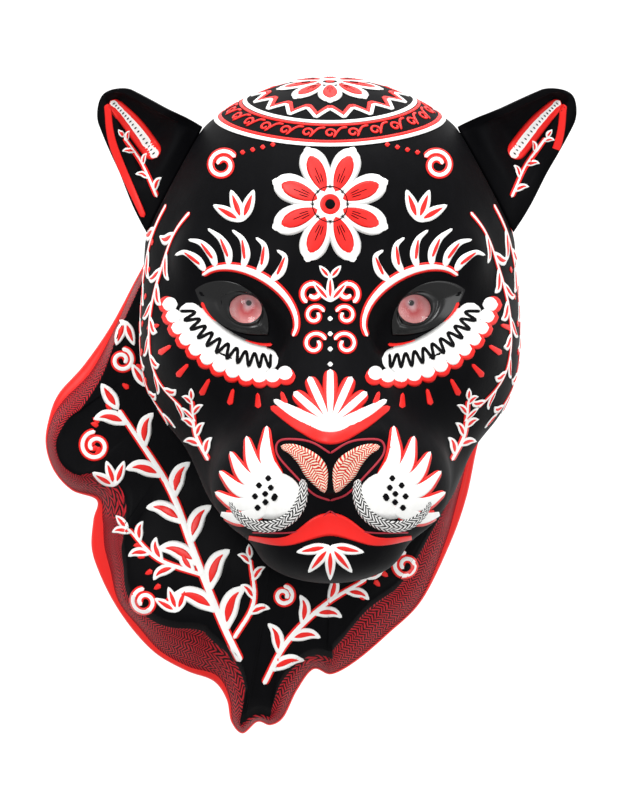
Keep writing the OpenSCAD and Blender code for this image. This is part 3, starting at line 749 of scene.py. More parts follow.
def ticked_material(name, ground, marks, pitch_mm, row_mm, slant_share, share_filled, source="curve"):
    """Ticks of one paint over another. The mesh holds the two distances: in metres along a stroke and as a
    share of its half width across it, or both in mm on the rim. source is "rim", or a half width in mm."""
    material = paint_material(name, ground, ground, 1.2, (0.45, 0.62), 0.3, shine=0.1)
    tree = material.node_tree
    group = put_node(tree, "ShaderNodeGroup", node_tree=ticks.tree)
    for key, value in (("Tick pitch", pitch_mm), ("Row width", row_mm), ("Slant", slant_share),
                       ("Filled share", share_filled)):
        group.inputs[key].default_value = value
    for key, socket in (("around" if source == "rim" else "along", "Along"), ("across", "Across")):
        read = put_node(tree, "ShaderNodeAttribute", attribute_name=key).outputs["Fac"]
        if source != "rim":
            read = put_node(tree, "ShaderNodeMath", {0: read, 1: 1000.0 if socket == "Along" else source},
                            operation="MULTIPLY").outputs[0]
        tree.links.new(read, group.inputs[socket])
    base = next(x for x in tree.nodes if x.type == "GROUP" and x.node_tree == hand_paint.tree)
    mixed = put_node(tree, "ShaderNodeMix", {0: group.outputs["Mark"], 6: base.outputs["Colour"]},
                     data_type="RGBA")
    mixed.inputs[7].default_value = marks
    tree.links.new(mixed.outputs[2], tree.nodes["Principled BSDF"].inputs["Base Color"])
    bump = next(x for x in tree.nodes if x.type == "BUMP")
    raised = put_node(tree, "ShaderNodeMath", {0: group.outputs["Mark"], 1: 0.8, 2: base.outputs["Height"]},
                      operation="MULTIPLY_ADD").outputs[0]
    tree.links.new(raised, bump.inputs["Height"])
    return material


rim_ticks = ticked_material("rim_ticks", rgb(8, 5, 7), rgb(186, 28, 40), 2.2, 4.6, 1.4, 0.5, "rim")
nose_ticks = ticked_material("nose_ticks", rgb(214, 34, 26), rgb(250, 238, 214), 1.8, 3.4, 1.1, 0.5, 6.0)
whisker_ticks = ticked_material("whisker_ticks", rgb(6, 6, 8), rgb(248, 248, 246), 2.7, 2.3, 1.3, 0.52, 3.5)
print("paints:", [m.name for m in bpy.data.materials if m.name.endswith(("paint", "ticks"))])

# %% Put the ground colours on the carved pieces
head.data.materials.append(black_paint)
left_ear.data.materials.append(black_paint)
right_ear.data.materials.append(black_paint)
for material in (black_paint, red_paint, rim_ticks):
    neck.data.materials.append(material)

# %% [markdown]
# ## Eyes: glass, iris and glossy lids
# The glass is left clear and very smooth. Behind it the iris is a pale pink disc with fine spokes and a small
# dark pupil, which sits a little off the middle. A pale ring round the pupil is a painted highlight. The
# putty lids are painted a wet-looking black.

# %% Glass, iris and lids
clear_glass = bpy.data.materials.new("clear_glass")
clear_glass.use_nodes = True
shader = clear_glass.node_tree.nodes["Principled BSDF"]
for key, value in (("Base Color", (1, 0.97, 0.97, 1)), ("Roughness", 0.02), ("IOR", 1.33),
                   ("Transmission Weight", 1.0)):
    shader.inputs[key].default_value = value

iris_paint = bpy.data.materials.new("iris_paint")
iris_paint.use_nodes = True
tree = iris_paint.node_tree
out_from = put_node(tree, "ShaderNodeAttribute", attribute_name="radius_share").outputs["Fac"]
spin = put_node(tree, "ShaderNodeAttribute", attribute_name="spin_share").outputs["Fac"]
round_way = put_node(tree, "ShaderNodeMath", {0: spin, 1: 60.0}, operation="MULTIPLY").outputs[0]
out_way = put_node(tree, "ShaderNodeMath", {0: out_from, 1: 3.0}, operation="MULTIPLY").outputs[0]
spoke_place = put_node(tree, "ShaderNodeCombineXYZ", {0: round_way, 1: out_way}).outputs[0]
spokes = put_node(tree, "ShaderNodeTexNoise", {"Vector": spoke_place, "Scale": 1.0,
                                               "Detail": 3.0}).outputs["Fac"]
reach = put_node(tree, "ShaderNodeMath", {0: spokes, 1: 0.16, 2: out_from},
                 operation="MULTIPLY_ADD").outputs[0]
ramp = put_node(tree, "ShaderNodeValToRGB", {0: reach})
for at, colour in ((0.0, rgb(255, 214, 216)), (0.3, rgb(255, 204, 206)), (0.62, rgb(255, 172, 172)),
                   (0.88, rgb(252, 122, 122)), (1.0, rgb(220, 66, 70))):
    stop = ramp.color_ramp.elements.new(at) if at not in (0.0, 1.0) else ramp.color_ramp.elements[int(at)]
    stop.color = colour
spot = put_node(tree, "ShaderNodeAttribute", attribute_name="on_disc").outputs["Vector"]
off = put_node(tree, "ShaderNodeVectorMath", {0: spot, 1: (-0.0008, 0.0022, 0)},
               operation="DISTANCE").outputs["Value"]
pupil = put_node(tree, "ShaderNodeMapRange", {0: off, 1: 0.0011, 2: 0.0015, 3: 1.0, 4: 0.0},
                 clamp=True).outputs[0]
# A pale ring round the pupil, mixed into the iris colour: a painted highlight, not a mark on the eye.
painted_highlight = put_node(tree, "ShaderNodeMapRange", {0: off, 1: 0.0015, 2: 0.0034, 3: 0.55, 4: 0.0},
                clamp=True).outputs[0]
iris_with_painted_highlight = put_node(tree, "ShaderNodeMix", {0: painted_highlight, 6: ramp.outputs[0]}, data_type="RGBA")
iris_with_painted_highlight.inputs[7].default_value = rgb(232, 214, 222)
eyed = put_node(tree, "ShaderNodeMix", {0: pupil, 6: iris_with_painted_highlight.outputs[2]}, data_type="RGBA")
eyed.inputs[7].default_value = rgb(18, 10, 14)
tree.links.new(eyed.outputs[2], tree.nodes["Principled BSDF"].inputs["Base Color"])
tree.nodes["Principled BSDF"].inputs["Roughness"].default_value = 0.4

wet_black = paint_material("wet_black", rgb(4, 4, 5), rgb(9, 9, 11), 0.8, (0.2, 0.32), 0.25, 0.12, 0.35)
for glass, disc in eyes:
    glass.data.materials.append(clear_glass)
    disc.data.materials.append(iris_paint)
for lid in lids:
    lid.data.materials.append(wet_black)
print("eye materials:", clear_glass.name, iris_paint.name, wet_black.name)

# %% [markdown]
# ## Bare wood and steel
# Behind, the wood is left bare, with the short facets of a gouge inside the hollow. Grain is noise stretched
# along the fibres, with thin darker rings. The batten and the dowels share that group at another scale. The
# hanger's metal is bright zinc, whose crystals show as small patches of slightly different grey.

# %% Bare wood, as a group
bare = Tree("Bare wood", "ShaderNodeTree")
fibres = bare.takes("Fibre stretch", "NodeSocketVector", (14, 14, 1.2))
pale = bare.takes("Pale", "NodeSocketColor", rgb(214, 178, 128))
dark = bare.takes("Dark", "NodeSocketColor", rgb(160, 112, 66))
gouge = bare.takes("Gouge depth", "NodeSocketFloat", 0.0)
g = bare.node
spot_on = g("ShaderNodeTexCoord").outputs["Object"]
drawn_out = g("ShaderNodeVectorMath", {0: spot_on, 1: fibres}, operation="MULTIPLY").outputs[0]
fibre = g("ShaderNodeTexNoise", {"Vector": drawn_out, "Scale": 22.0, "Detail": 6.0,
                                 "Roughness": 0.65}).outputs["Fac"]
slow = g("ShaderNodeTexNoise", {"Vector": drawn_out, "Scale": 2.4, "Detail": 2.0}).outputs["Fac"]
rings_wave = bare.math("PINGPONG", bare.math("MULTIPLY", slow, 9.0), 0.5)
shade = bare.math("MULTIPLY_ADD", rings_wave, 0.8, bare.math("MULTIPLY", fibre, 0.55))
tint = g("ShaderNodeMix", {0: shade, 6: pale, 7: dark}, data_type="RGBA")
bare.gives("Colour", "NodeSocketColor", tint.outputs[2])
bare.gives("Roughness", "NodeSocketFloat", bare.math("MULTIPLY_ADD", fibre, 0.25, 0.55))
long_cuts = g("ShaderNodeVectorMath", {0: spot_on, 1: (1.0, 1.0, 0.45)}, operation="MULTIPLY").outputs[0]
cuts = g("ShaderNodeTexVoronoi", {"Vector": long_cuts, "Scale": 85.0, "Smoothness": 0.35},
         feature="SMOOTH_F1").outputs["Distance"]
grain = bare.math("MULTIPLY", fibre, 0.35)
bare.gives("Height", "NodeSocketFloat", bare.math("MULTIPLY_ADD", cuts, gouge, grain))


def wood_material(name, stretch, pale_colour, dark_colour, gouge_depth, bump):
    values = {"Fibre stretch": stretch, "Pale": pale_colour, "Dark": dark_colour,
              "Gouge depth": gouge_depth}
    return grouped_material(name, bare.tree, values, bump, 0.0012)[0]


gouged_wood = wood_material("gouged_wood", (14, 14, 1.2), rgb(206, 170, 122), rgb(150, 104, 62), 2.6, 0.9)
planed_wood = wood_material("planed_wood", (1.4, 16, 16), rgb(222, 190, 142), rgb(176, 130, 82), 0.0, 0.35)
dowel_wood = wood_material("dowel_wood", (20, 2, 20), rgb(226, 196, 150), rgb(190, 148, 100), 0.0, 0.3)

# %% Zinc-plated steel
zinc = bpy.data.materials.new("zinc_steel")
zinc.use_nodes = True
tree = zinc.node_tree
shader = tree.nodes["Principled BSDF"]
shader.inputs["Metallic"].default_value = 1.0
at_point = put_node(tree, "ShaderNodeTexCoord").outputs["Object"]
crystals = put_node(tree, "ShaderNodeTexVoronoi", {"Vector": at_point, "Scale": 650.0}).outputs["Color"]
grey = put_node(tree, "ShaderNodeSeparateColor", {0: crystals}).outputs[0]
worn = put_node(tree, "ShaderNodeTexNoise", {"Vector": at_point, "Scale": 260.0,
                                             "Detail": 5.0}).outputs["Fac"]
plated = put_node(tree, "ShaderNodeMix", {0: grey}, data_type="RGBA")
plated.inputs[6].default_value, plated.inputs[7].default_value = (0.5, 0.52, 0.55, 1), (0.66, 0.67, 0.68, 1)
tree.links.new(plated.outputs[2], shader.inputs["Base Color"])
dulled = put_node(tree, "ShaderNodeMapRange", {0: worn, 1: 0.35, 2: 0.7, 3: 0.22, 4: 0.46}, clamp=True)
tree.links.new(dulled.outputs[0], shader.inputs["Roughness"])
pitted = put_node(tree, "ShaderNodeBump", {"Height": worn, "Strength": 0.12, "Distance": 0.0003})
tree.links.new(pitted.outputs[0], shader.inputs["Normal"])

for part, material in (("hanger_batten", planed_wood), ("joint_dowels", dowel_wood),
                       ("left_ear_dowel", dowel_wood), ("right_ear_dowel", dowel_wood),
                       ("batten_screws", zinc), ("hanger_strap", zinc), ("strap_screws", zinc),
                       ("hanger_ring", zinc)):
    for holder in frame["nodes"][part].material_slots:
        holder.material = material
print("woods and metal:", [m.name for m in (gouged_wood, planed_wood, dowel_wood, zinc)])


# %% Bare wood inside the head and on both flat backs
def bare_where(piece, wanted):
    piece.data.materials.append(gouged_wood)
    count = len(piece.data.polygons)
    middles, normals, zone = np.empty(count * 3), np.empty(count * 3), np.empty(count, np.int32)
    piece.data.polygons.foreach_get("center", middles)
    piece.data.polygons.foreach_get("normal", normals)
    piece.data.polygons.foreach_get("material_index", zone)
    chosen = wanted(middles.reshape(-1, 3) / MM, normals.reshape(-1, 3))
    zone[chosen] = len(piece.data.materials) - 1
    piece.data.polygons.foreach_set("material_index", zone)
    print("bare wood:", int(chosen.sum()), "faces of the", piece.name)


UNDER_SKIN, BACK_COLUMNS = 4, 4


def hollow_or_back(at, normal):
    """Faces deep under the outer skin and not at an ear's seat, or that lie on the wall plane."""
    out = np.abs(at[:, 0]) * math.cos(SEAT_ANGLE) + (at[:, 2] - SKULL[2]) * math.sin(SEAT_ANGLE)
    in_hollow = (carved_head(at) < -UNDER_SKIN) & (out < SEAT_REACH - 2)
    return in_hollow | ((normal[:, 1] > 0.7) & (at[:, 1] > -1))


bare_where(head, hollow_or_back)
bare_where(neck, lambda at, normal: column_of_face >= section_points - BACK_COLUMNS)

# %% [markdown]
# ## A painter's set of marks
# Folk painting can be built from a few moves of the brush: a line that swells and thins, a curl, a leaf, a
# petal ring, a leafy spray. Each move below is a function, so most patterns are short rules, and a few lines
# pass through chosen points. Marks are flat lines in millimetres, and they go into a pot, which is a paint on
# a surface. Pairs are drawn once and mirrored.


# %% Smooth lines and curls
def flowing(points, per=8):
    """A smooth line through the points."""
    p = np.array(points, float)
    if len(p) == 2:
        return p[0] + np.linspace(0, 1, per + 1)[:, None] * (p[1] - p[0])
    p = np.concatenate([[2 * p[0] - p[1]], p, [2 * p[-1] - p[-2]]])
    t = (np.arange(per) / per)[:, None]
    out = [between(a, b, c, d, t) for a, b, c, d in zip(p, p[1:], p[2:], p[3:])]
    return np.concatenate(out + [p[-2:-1]])


def toward(degrees, reach=1.0):
    return np.array([math.cos(math.radians(degrees)), math.sin(math.radians(degrees))]) * reach


def curl(centre, radius, turns, enter, way=1, tight=0.3):
    """Points of a spiral that enters at an angle and winds in; way is 1 for anticlockwise."""
    share = np.linspace(0, 1, max(6, int(abs(turns) * 12)) + 1)
    return [np.array(centre, float) + toward(enter + way * 360 * turns * s,
                                             radius * (1 - (1 - tight) * s)) for s in share]


def arc(centre, radius, start, end, count=9):
    return [np.array(centre, float) + toward(a, radius) for a in np.linspace(start, end, count)]


# %% Brush, dot and edge
pots = {}


def store(pot, line, half, closed, both):
    pots.setdefault(pot, []).append((line, half, closed))
    if both:
        pots[pot].append((line * [-1, 1], half, closed))


def brush(pot, points, width, both=False, closed=False, per=8):
    """Stores a stroke; width is in mm across, one number or a list spread evenly along it."""
    points = list(points) + ([points[0]] if closed else [])
    line = flowing(points, per)
    gone = np.concatenate([[0], np.cumsum(np.linalg.norm(np.diff(line, axis=0), axis=1))])
    fine = np.linspace(0, gone[-1], max(4, int(gone[-1] / 0.4)))
    line = np.stack([np.interp(fine, gone, line[:, k]) for k in (0, 1)], 1)
    if np.isscalar(width):
        width = [width, width]
    steady = flowing([(k, w) for k, w in enumerate(width)], 6)[:, 1]
    half = np.interp(fine / gone[-1], np.linspace(0, 1, len(steady)), steady) / 2
    if closed:
        line, half = line[:-1], half[:-1]
    else:
        for far in (fine, fine[-1] - fine):
            r = half[np.argmin(far)]
            round_off = np.sqrt(np.maximum(r * r - np.maximum(r - far, 0) ** 2, 0.0025))
            half = np.where(far < r, np.minimum(half, round_off), half)
    store(pot, line, half, closed, both)


def dot(pot, place, wide, tall=None, both=False):
    """A round or oval spot."""
    t = np.sin(np.radians(np.linspace(-86, 86, 13)))
    line = np.array(place, float) + np.column_stack([t * wide / 2, t * 0])
    store(pot, line, (tall or wide) / 2 * np.sqrt(1 - t * t), False, both)


def edged(surface, points, width, edge=1.2, **more):
    """A white line with a red rim."""
    wide = width + 2 * edge if np.isscalar(width) else [w + 2 * edge for w in width]
    brush(surface + "_red", points, wide, **more)
    brush(surface + "_white", points, width, **more)


def strokes_so_far():
    return sum(len(lines) for lines in pots.values())


# %% Leaves, petal rings, sprigs and sprays
HEART_SHARE = 0.42


def leaf(surface, base, degrees, length, width, bend=0.12, both=False):
    """A white leaf with a red heart."""
    base = np.array(base, float)
    ahead, aside = toward(degrees, length), toward(degrees + 90, length * bend)
    line = [base, base + ahead * 0.35 + aside * 0.8, base + ahead * 0.7 + aside, base + ahead]
    brush(surface + "_white", line, [width * 0.25, width, width * 0.9, width * 0.2], both)
    heart = [base + ahead * t + aside * s
             for t, s in ((0.18, 0.45), (0.42, 0.85), (0.66, 0.95), (0.84, 0.6))]
    brush(surface + "_top_red", heart, [0.8, width * HEART_SHARE, width * HEART_SHARE * 0.8, 0.6], both)


def petals(surface, centre, count, near, far, width, first=90):
    for k in range(count):
        ahead = toward(first + 360 * k / count)
        centre = np.array(centre, float)
        brush(surface + "_white", [centre + ahead * r for r in np.linspace(near, far, 5)],
              [width * s for s in (0.2, 0.8, 1.0, 0.9, 0.3)])
        brush(surface + "_top_red", [centre + ahead * r for r in np.linspace(near + 1, 0.84 * far, 4)],
              [width * s for s in (0.15, 0.5, 0.58, 0.3)])
        for turn, end in ((-5, 0.52), (0, 0.64), (5, 0.52)):
            vein = toward(first + 360 * k / count + turn)
            brush(surface + "_black", [centre + vein * far * 0.36, centre + vein * far * end], 0.6)


def sprig(surface, base, degrees, length, width, both=False, count=3, spread=40):
    """A few leaves that fan out from one point."""
    for k in range(count):
        leaf(surface, base, degrees + spread * (k - (count - 1) / 2), length, width, 0, both)


def spray(surface, path, count, length, width, stem=2.4, both=False, spread=48, first=0.12):
    """A stem with leaves on alternate sides and one at its tip."""
    line = flowing(path, 16)
    edged(surface, path, [stem, stem, stem * 0.6], 1.0, both=both)
    for k in range(count):
        share = first + (0.96 - first) * k / (count - 1)
        i = min(int(share * (len(line) - 1)), len(line) - 2)
        run = line[i + 1] - line[i]
        heading = math.degrees(math.atan2(run[1], run[0]))
        side = 1 if k % 2 else -1
        grown = length * (1 - 0.35 * share)
        leaf(surface, line[i], heading + side * spread, grown, width * (1 - 0.3 * share), -0.14 * side,
             both)
    run = line[-1] - line[-3]
    leaf(surface, line[-1], math.degrees(math.atan2(run[1], run[0])), length * 0.6, width * 0.7, 0, both)


# %% Find where the strokes land, and cut off what does not
# Each chart is a globe: how it is turned, in degrees, its centre, and its radius, both in metres.
CHARTS = {"front": ((90, 0, 0), (0, 99.92, 0), 100.0),
          "crown": ((5, 0, 0), (0, -0.062, -0.06), 0.112),
          "left": ((90, 0, -90), (0, -0.06, -0.09), 0.11),
          "right": ((90, 0, 90), (0, -0.06, -0.09), 0.11)}
KEEP_OFF_WALL = -0.006
STEEPEST, SLACK, LONGEST_JUMP, FEWEST_POINTS = 6, 0.004, 0.005, 5
trees = {}


def landing(wood_piece, chart, flat):
    """Where a point of the flat drawing, in metres, lands on the wood."""
    angles, middle, globe_radius = CHARTS[chart]
    reach = float(np.hypot(*flat))
    angle = reach / globe_radius
    side = flat / max(reach, 1e-9) * math.sin(angle)
    turned_by = Euler([math.radians(a) for a in angles]).to_matrix()
    outward = turned_by @ Vector((side[0], side[1], math.cos(angle)))
    far = globe_radius + RUN_UP
    return trees[wood_piece.name].ray_cast(Vector(middle) + outward * far, -outward, min(LONGEST_RAY, far))[0]


def runs_on_wood(line, half, closed, wood_piece, chart):
    """The stretches of a stroke whose middle and both sides land on the wood, off the wall and without a
    jump to another surface. Stretches of only a few points are dropped."""
    if wood_piece.name not in trees:
        trees[wood_piece.name] = BVHTree.FromObject(wood_piece, bpy.context.evaluated_depsgraph_get())
    run = np.gradient(line, axis=0)
    across = np.column_stack([-run[:, 1], run[:, 0]])
    across /= np.maximum(np.linalg.norm(run, axis=1), 1e-9)[:, None]
    good, last = [], None
    for q, a, h in zip(line * MM, across, half * MM):
        spots = [landing(wood_piece, chart, q + a * s * h) for s in (-1, 0, 1)]
        fine = all(s is not None and s.y < KEEP_OFF_WALL for s in spots)
        fine = fine and (spots[0] - spots[2]).length < STEEPEST * h + SLACK
        fine = fine and (last is None or (spots[1] - last).length < LONGEST_JUMP)
        good.append(fine)
        last = spots[1] if fine else None
    if all(good):
        return [(line, half, closed)]
    edges = np.flatnonzero(np.diff(np.concatenate([[0], np.array(good, int), [0]])))
    return [(line[a:b], half[a:b], False) for a, b in zip(edges[::2], edges[1::2]) if b - a >= FEWEST_POINTS]


# %% Lay the strokes of one pot on the wood
# How far apart the sections of a stroke are, the points in each, its thickness and its depth in the wood.
STROKE_STEP, STROKE_COLUMNS, STROKE_BODY, STROKE_ROOT = 0.0009, 8, 0.00028, 0.0009


def lay(pot, chart, wood_piece, material, lift_by):
    data = bpy.data.curves.new(pot, "CURVE")
    data.dimensions = "3D"
    drawn_lines = [r for stroke in pots[pot] for r in runs_on_wood(*stroke, wood_piece, chart)]
    for line, half, closed in drawn_lines:
        spline = data.splines.new("POLY")
        spline.points.add(len(line) - 1)
        flat = np.column_stack([line * MM, np.zeros(len(line)), np.ones(len(line))])
        spline.points.foreach_set("co", flat.ravel())
        spline.points.foreach_set("radius", half * MM)
        spline.use_cyclic_u = closed
    drawn = bpy.data.objects.new(pot + "_drawing", data)
    bpy.context.scene.collection.objects.link(drawn)
    modifier = drawn.modifiers.new("strokes", "NODES")
    modifier.node_group = strokes_tree.tree
    angles, middle, globe_radius = CHARTS[chart]
    values = {"Wood": wood_piece, "Paint": material, "Step": STROKE_STEP, "Columns": STROKE_COLUMNS,
              "Lift": lift_by, "Body": STROKE_BODY, "Root": STROKE_ROOT,
              "Aim": [math.radians(a) for a in angles], "Globe centre": middle, "Globe radius": globe_radius}
    for item in strokes_tree.tree.interface.items_tree:
        if item.item_type == "SOCKET" and item.in_out == "INPUT" and item.name in values:
            modifier[item.identifier] = values[item.name]
    graph = bpy.context.evaluated_depsgraph_get()
    mesh = bpy.data.meshes.new_from_object(drawn.evaluated_get(graph), depsgraph=graph)
    bpy.data.objects.remove(drawn)
    corners, ends = np.empty(len(mesh.vertices) * 3), np.empty(len(mesh.edges) * 2, np.int32)
    mesh.vertices.foreach_get("co", corners)
    mesh.edges.foreach_get("vertices", ends)
    start, end = corners.reshape(-1, 3)[ends.reshape(-1, 2)].transpose(1, 0, 2)
    longest = np.linalg.norm(start - end, axis=1).max() / MM
    missed = np.empty(len(mesh.vertices), np.float32)
    mesh.attributes["missed"].data.foreach_get("value", missed)
    for label in ("missed", "rise"):
        mesh.attributes.remove(mesh.attributes[label])
    mesh.name = pot
    piece = bpy.data.objects.new(pot + "_strokes", mesh)
    bpy.context.scene.collection.objects.link(piece)
    face_outwards(piece)
    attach(piece, "mask")
    print(f"{pot}: {len(drawn_lines)} strokes, {len(mesh.polygons)} faces,",
          f"{int(missed.sum())} points off the wood, longest edge {longest:.1f} mm")


# %% [markdown]
# ## The face
# The face is painted with ordinary folk motifs, even and mirrored: a round flower, scrolls, fans, leaves and
# dots. The plumes and the scalloped fan take their places from the eye's axis and the lids' tilt, so they
# would move with the eye. The other marks have fixed places in millimetres, and would have to be moved by
# hand if the carving changed. Red goes down first, white over it, black details last.

# %% Flower and scrolls on the forehead
FLOWER = (0, -28)
petals("face", FLOWER, 8, 7, 37, 17, 22.5)
for pot, radius, width in (("face_top_white", 7.5, 4.5), ("face_top_red", 4.5, 3.5),
                           ("face_black", 10.5, 0.6)):
    brush(pot, curl(FLOWER, radius, 1, 0, 1, 1.0)[:-1], width, closed=True)
dot("face_black", FLOWER, 6)
edged("face", curl((-64, -4), 9, 1.4, 30, 1), 2.4, 1.1, both=True)
sprig("face", (-52, -38), 110, 20, 7, both=True)
sprig("face", (0, -72), 90, 10, 4, count=2, spread=80)
for k in range(5):
    dot("face_red", (-34 - 6 * k, 8 - 1.5 * k), 3, both=True)
print("forehead done, strokes so far:", strokes_so_far())

# %% Places round the eye: an angle about it and a distance out from the lids
LID_LONG, LID_SHORT = 25, 13


def by_eye(angle, out):
    u, v = (LID_LONG + out) * math.cos(math.radians(angle)), (LID_SHORT + out) * math.sin(math.radians(angle))
    return np.array([-EYE.x - u * math.cos(LID_ROLL) + v * math.sin(LID_ROLL),
                     EYE.z + u * math.sin(LID_ROLL) + v * math.cos(LID_ROLL)])


# %% Plumes over the eye
edged("face", [by_eye(a, 8) for a in range(10, 181, 17)], [1.6, 3.4, 4.0, 3.0, 1.6], 1.2, both=True)
for k in range(6):
    angle = 18 + 16 * k
    tip = 32 - 2 * abs(k - 2)
    line = [by_eye(angle + turn, out) for turn, out in ((0, 9), (1, 17), (-3, 25), (-10, tip))]
    brush("face_white", line, [3.4, 5.4, 3.6, 1.4], both=True)
    brush("face_top_red", [line[0] * 0.4 + line[1] * 0.6, line[2]], [1.4, 2.0, 0.8], both=True)
edged("face", curl(by_eye(128, 23), 7, 1.1, 240, -1), 2.4, 1.1, both=True)
print("plumes done, strokes so far:", strokes_so_far())

# %% Scalloped fan under the eye
FAN = range(215, 326, 10)
brush("face_red", [by_eye(a, 25) for a in FAN], 6, both=True)
brush("face_white", [by_eye(a, 14) for a in FAN], [14, 20, 20, 14], both=True)
for a in FAN:
    dot("face_red", by_eye(a, 26), 10.5, both=True)
    dot("face_white", by_eye(a, 24), 9, both=True)
brush("face_black", [by_eye(221 + 4.6 * k, 19 if k % 2 else 11) for k in range(22)], 1.9, both=True, per=6)
brush("face_red", [by_eye(a, 5) for a in range(215, 326, 11)], 2, both=True)
for k in range(7):
    angle = 222 + 15 * k
    brush("face_red", [by_eye(angle, 34), by_eye(angle, 45 - abs(k - 3))], [2, 4.2], both=True)
print("fans under the eyes done, strokes so far:", strokes_so_far())

# %% Scrolls and palmette down the nose
for turn in (50, 90, 130):
    leaf("face", (0, -86), turn, 16, 4.5, 0)
for z, size in ((-94, 6), (-111, 7)):
    edged("face", curl((-9, z), size, 1.1, 20, 1), 1.9, 1.0, both=True)
for k in range(4):
    dot("face_white", (0, -96 - 9 * k), 3)
for k in range(7):
    angle = 12 + 26 * k
    tip = np.array([0, -156]) + toward(angle, 30 - 1.5 * abs(k - 3))
    line = [(0, -158), np.array([0, -157]) + toward(angle, 15), tip]
    brush("face_red", line, [3, 9, 8])
    brush("face_white", line, [1.5, 4.5, 4])
brush("face_red", [(-35, -148), (-16, -158), (0, -164), (16, -158), (35, -148)], [3, 10, 12, 10, 3])
brush("face_white", [(-33, -144), (-16, -154), (0, -159), (16, -154), (33, -144)], [2.6, 7.5, 8, 7.5, 2.6])
print("nose bridge done, strokes so far:", strokes_so_far())

# %% Nose pad
PAD = ((0, -175), (10, -169), (20, -167), (30, -168), (31, -176), (20, -189), (10, -199), (0, -203))
for side in (-1, 1):
    brush("face_crimson", [(side * x, z) for x, z in PAD], 1.3)
    brush("nose_ticks", [(side * x, z) for x, z in ((29, -171), (20, -174), (10, -183), (3, -198))],
          [2.6, 10, 14, 2.4])

# %% Whisker pads
HUB = np.array([-26.0, -204.0])
dot("face_white", HUB + (-8, 4), 34, 28, both=True)
for k in range(6):
    angle = 114 + 17 * k
    line = [HUB + toward(angle - 6, 12), HUB + toward(angle, 28), HUB + toward(angle - 10, 46 - k)]
    brush("face_red", line, [10, 11, 4], both=True)
    brush("face_white", line, [9, 8, 1.8], both=True)
for row in range(3):
    for k in range(2 + row):
        dot("face_black", HUB + (-6, 3) + toward(95 + 130 * (k + 0.5) / (2 + row), 1 + 5.5 * row), 3.6,
            both=True)
brush("face_ticks", arc((-38, -196), 22, 200, 375, 14), [2, 6, 7, 7, 4], both=True)
print("whisker pads done, strokes so far:", strokes_so_far())

# %% Mouth and chin
brush("face_red", [(-50, -225), (-26, -227), (0, -217), (26, -227), (50, -225)], [2.5, 6, 14, 6, 2.5])
brush("face_crimson", [(0, -209), (-18, -221), (-46, -222)], 0.9, both=True)
for k in range(5):
    leaf("face", (0, -230), 190 + 40 * k, 20, 6, 0)

# %% Cheeks
spray("face", [(-72, -180), (-80, -164), (-82, -144)], 6, 12, 5, 2, both=True)
print("face done, strokes so far:", strokes_so_far())

# %% [markdown]
# ## The crown
# The top of the head wears a painted cap: a petal ring inside a zigzag, then a ring of scrolls between two
# white lines. It is laid from a small globe that about fits the skull, so the rings stay nearly round when
# seen from above. The globe leans by 5 degrees: at 4 degrees one stroke went through into the hollow.


# %% Rings, scrolls and petal ring of the cap
def hoop(pot, radius, width):
    brush(pot, arc((0, 0), radius, 0, 350, 36), width, closed=True, per=4)


for pot, radius, width in (("cap_white", 76, 3), ("cap_red", 73, 2.4), ("cap_red", 58, 2),
                           ("cap_white", 55, 3)):
    hoop(pot, radius, width)
for k in range(24):
    tail = [toward(15 * k + 12, 60.5), toward(15 * k + 7, 61.5)]
    brush("cap_red", tail + curl(toward(15 * k, 65.5), 4.4, 1.2, 15 * k + 40, 1), 1.9)
for pot, inward, width in (("cap_white", 0, 2.6), ("cap_red", 3.5, 3.2)):
    zigzag = [toward(11.25 * k, (51 if k % 2 else 41) - inward) for k in range(32)]
    for a, b in zip(zigzag, zigzag[1:] + zigzag[:1]):
        brush(pot, [a, b], width)
petals("cap", (0, 0), 8, 7, 34, 16)
hoop("cap_top_white", 6, 3)
dot("cap_top_red", (0, 0), 5.5)
print("cap done, strokes so far:", strokes_so_far())

# %% [markdown]
# ## The sides
# Two leafy sprays run down each side of the head. They cross the steep sides, so they are drawn as seen from
# the side and laid from a globe there. The left drawing is turned over for the right.

# %% Sprays on the sides: the first number is towards the front, the second is up
for side, way in (("left", 1), ("right", -1)):
    for middle, count in ((28, 11), (0, 11)):
        path = [(way * (middle + 24), 62), (way * (middle + 6), 30), (way * middle, 0),
                (way * (middle + 6), -32), (way * (middle + 22), -60)]
        spray(side, path, count, 20, 7)
    for z in (-48, 0, 48):
        edged(side, curl((-way * 20, z), 8, 1.3, 90, way), 2.4, 1.1)
    for k in range(6):
        dot(side + "_red", (way * 14, 40 - 16 * k), 4)
print("sides done, strokes so far:", strokes_so_far())

# %% [markdown]
# ## The ears
# A broad white band with a red rim and a row of black stitches follows the upper edge of each cup, and a red
# line follows the lower one. A small leafy spray fills the hollow.

# %% Ear strokes
for side, surface in ((-1, "left_ear"), (1, "right_ear")):
    stretch = 1 if side < 0 else 1.05
    upper = [(side * x * stretch, z) for x, z in ((104, 2), (119, 22), (132, 36))]
    lower = [(side * x * stretch, z) for x, z in ((134, 34), (130, 8), (112, -34))]
    brush(surface + "_red", upper, [12, 12, 8])
    brush(surface + "_white", upper, [7, 8, 5])
    for q, r in zip(flowing(upper, 9)[1:-1], flowing(upper, 9)[2:]):
        across = np.array([-(r - q)[1], (r - q)[0]]) / np.linalg.norm(r - q)
        brush(surface + "_black", [q - across, q + across], 0.9)
    brush(surface + "_red", lower, [4, 5, 3.6])
    stem = [(side * x * stretch, z) for x, z in ((104, -22), (112, -4), (124, 14))]
    spray(surface, stem, 5, 10, 4, 1.6)
print("ears done, strokes so far:", strokes_so_far())

# %% [markdown]
# ## The neck
# One leafy spray climbs the broad left side of the neck and others branch off, with curls at the gaps and a
# row of drops inside the rim. The rim's own points give the drops their places.

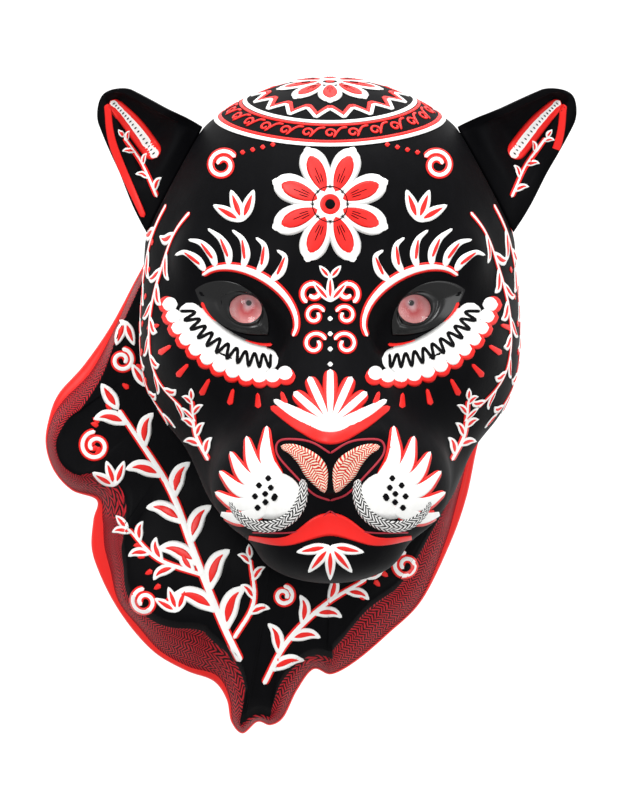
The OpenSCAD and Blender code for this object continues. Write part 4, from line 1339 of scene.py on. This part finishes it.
# %% Sprays and curls
spray("neck", [(-54, -302), (-66, -276), (-82, -236), (-98, -196), (-128, -150)], 10, 32, 12, 4, first=0.2)
spray("neck", [(-40, -316), (-26, -290), (-4, -268), (22, -252)], 8, 22, 8, 3)
spray("neck", [(-76, -250), (-104, -240), (-122, -222)], 6, 18, 7, 2.4)
spray("neck", [(-58, -288), (-46, -266), (-48, -240)], 4, 15, 6, 2.4, first=0.35)
for x, z, radius, way in ((-142, -172, 9, 1), (-126, -120, 7, -1), (-112, -266, 8, 1), (-28, -262, 6, -1),
                          (46, -244, 8, 1), (60, -206, 7, -1)):
    edged("neck", curl((x, z), radius, 1.4, 90, way), 2.6, 1.1)

for x, z, degrees in ((-92, -160, 80), (-130, -196, 110), (-92, -272, 110), (-124, -96, 250),
                      (-112, -136, 80)):
    sprig("neck", (x, z), degrees, 16, 6)

# %% Drops inside the rim
DROP_IN, DROP_GAP = 26, 13
rim_gone = np.concatenate([[0], np.cumsum(np.linalg.norm(np.diff(edge, axis=0), axis=1))])
spin = np.sign(np.sum(edge[:, 0] * np.roll(edge[:, 1], -1) - np.roll(edge[:, 0], -1) * edge[:, 1]))
for at in np.arange(0, rim_gone[-1], DROP_GAP):
    pair = (at, min(at + 2, rim_gone[-1]))
    q, r = (np.array([np.interp(s, rim_gone, edge[:, k]) for k in (0, 1)]) for s in pair)
    if np.linalg.norm(r - q) > 0.1 and q[1] > -285:
        inward = np.array([-(r - q)[1], (r - q)[0]]) * spin / np.linalg.norm(r - q)
        brush("neck_red", [q + inward * DROP_IN, q + inward * (DROP_IN + 5)], [2, 4])
print("neck done, strokes so far:", strokes_so_far())

# %% Lay every stroke, red first
SURFACES = {"face": ("front", head), "nose": ("front", head), "cap": ("crown", head),
            "left": ("left", head), "right": ("right", head),
            "left_ear": ("front", left_ear), "right_ear": ("front", right_ear), "neck": ("front", neck)}
LAYERS = {"crimson": (crimson_paint, "paint_red", 0.2), "red": (red_paint, "paint_red", 0.3),
          "white": (white_paint, "paint_white", 0.45),
          "top_white": (white_paint, "paint_white", 0.6), "top_red": (red_paint, "paint_red", 0.75),
          "ticks": (whisker_ticks, "paint_white", 0.8), "black": (fine_black, "paint_black", 0.95)}
for surface, (chart, wood_piece) in SURFACES.items():
    for layer, (material, slot, lift_mm) in LAYERS.items():
        if surface + "_" + layer in pots:
            if surface == "nose":
                material, slot, lift_mm = nose_ticks, "paint_red", 0.25
            lay(surface + "_" + layer, chart, wood_piece, material, lift_mm * MM)
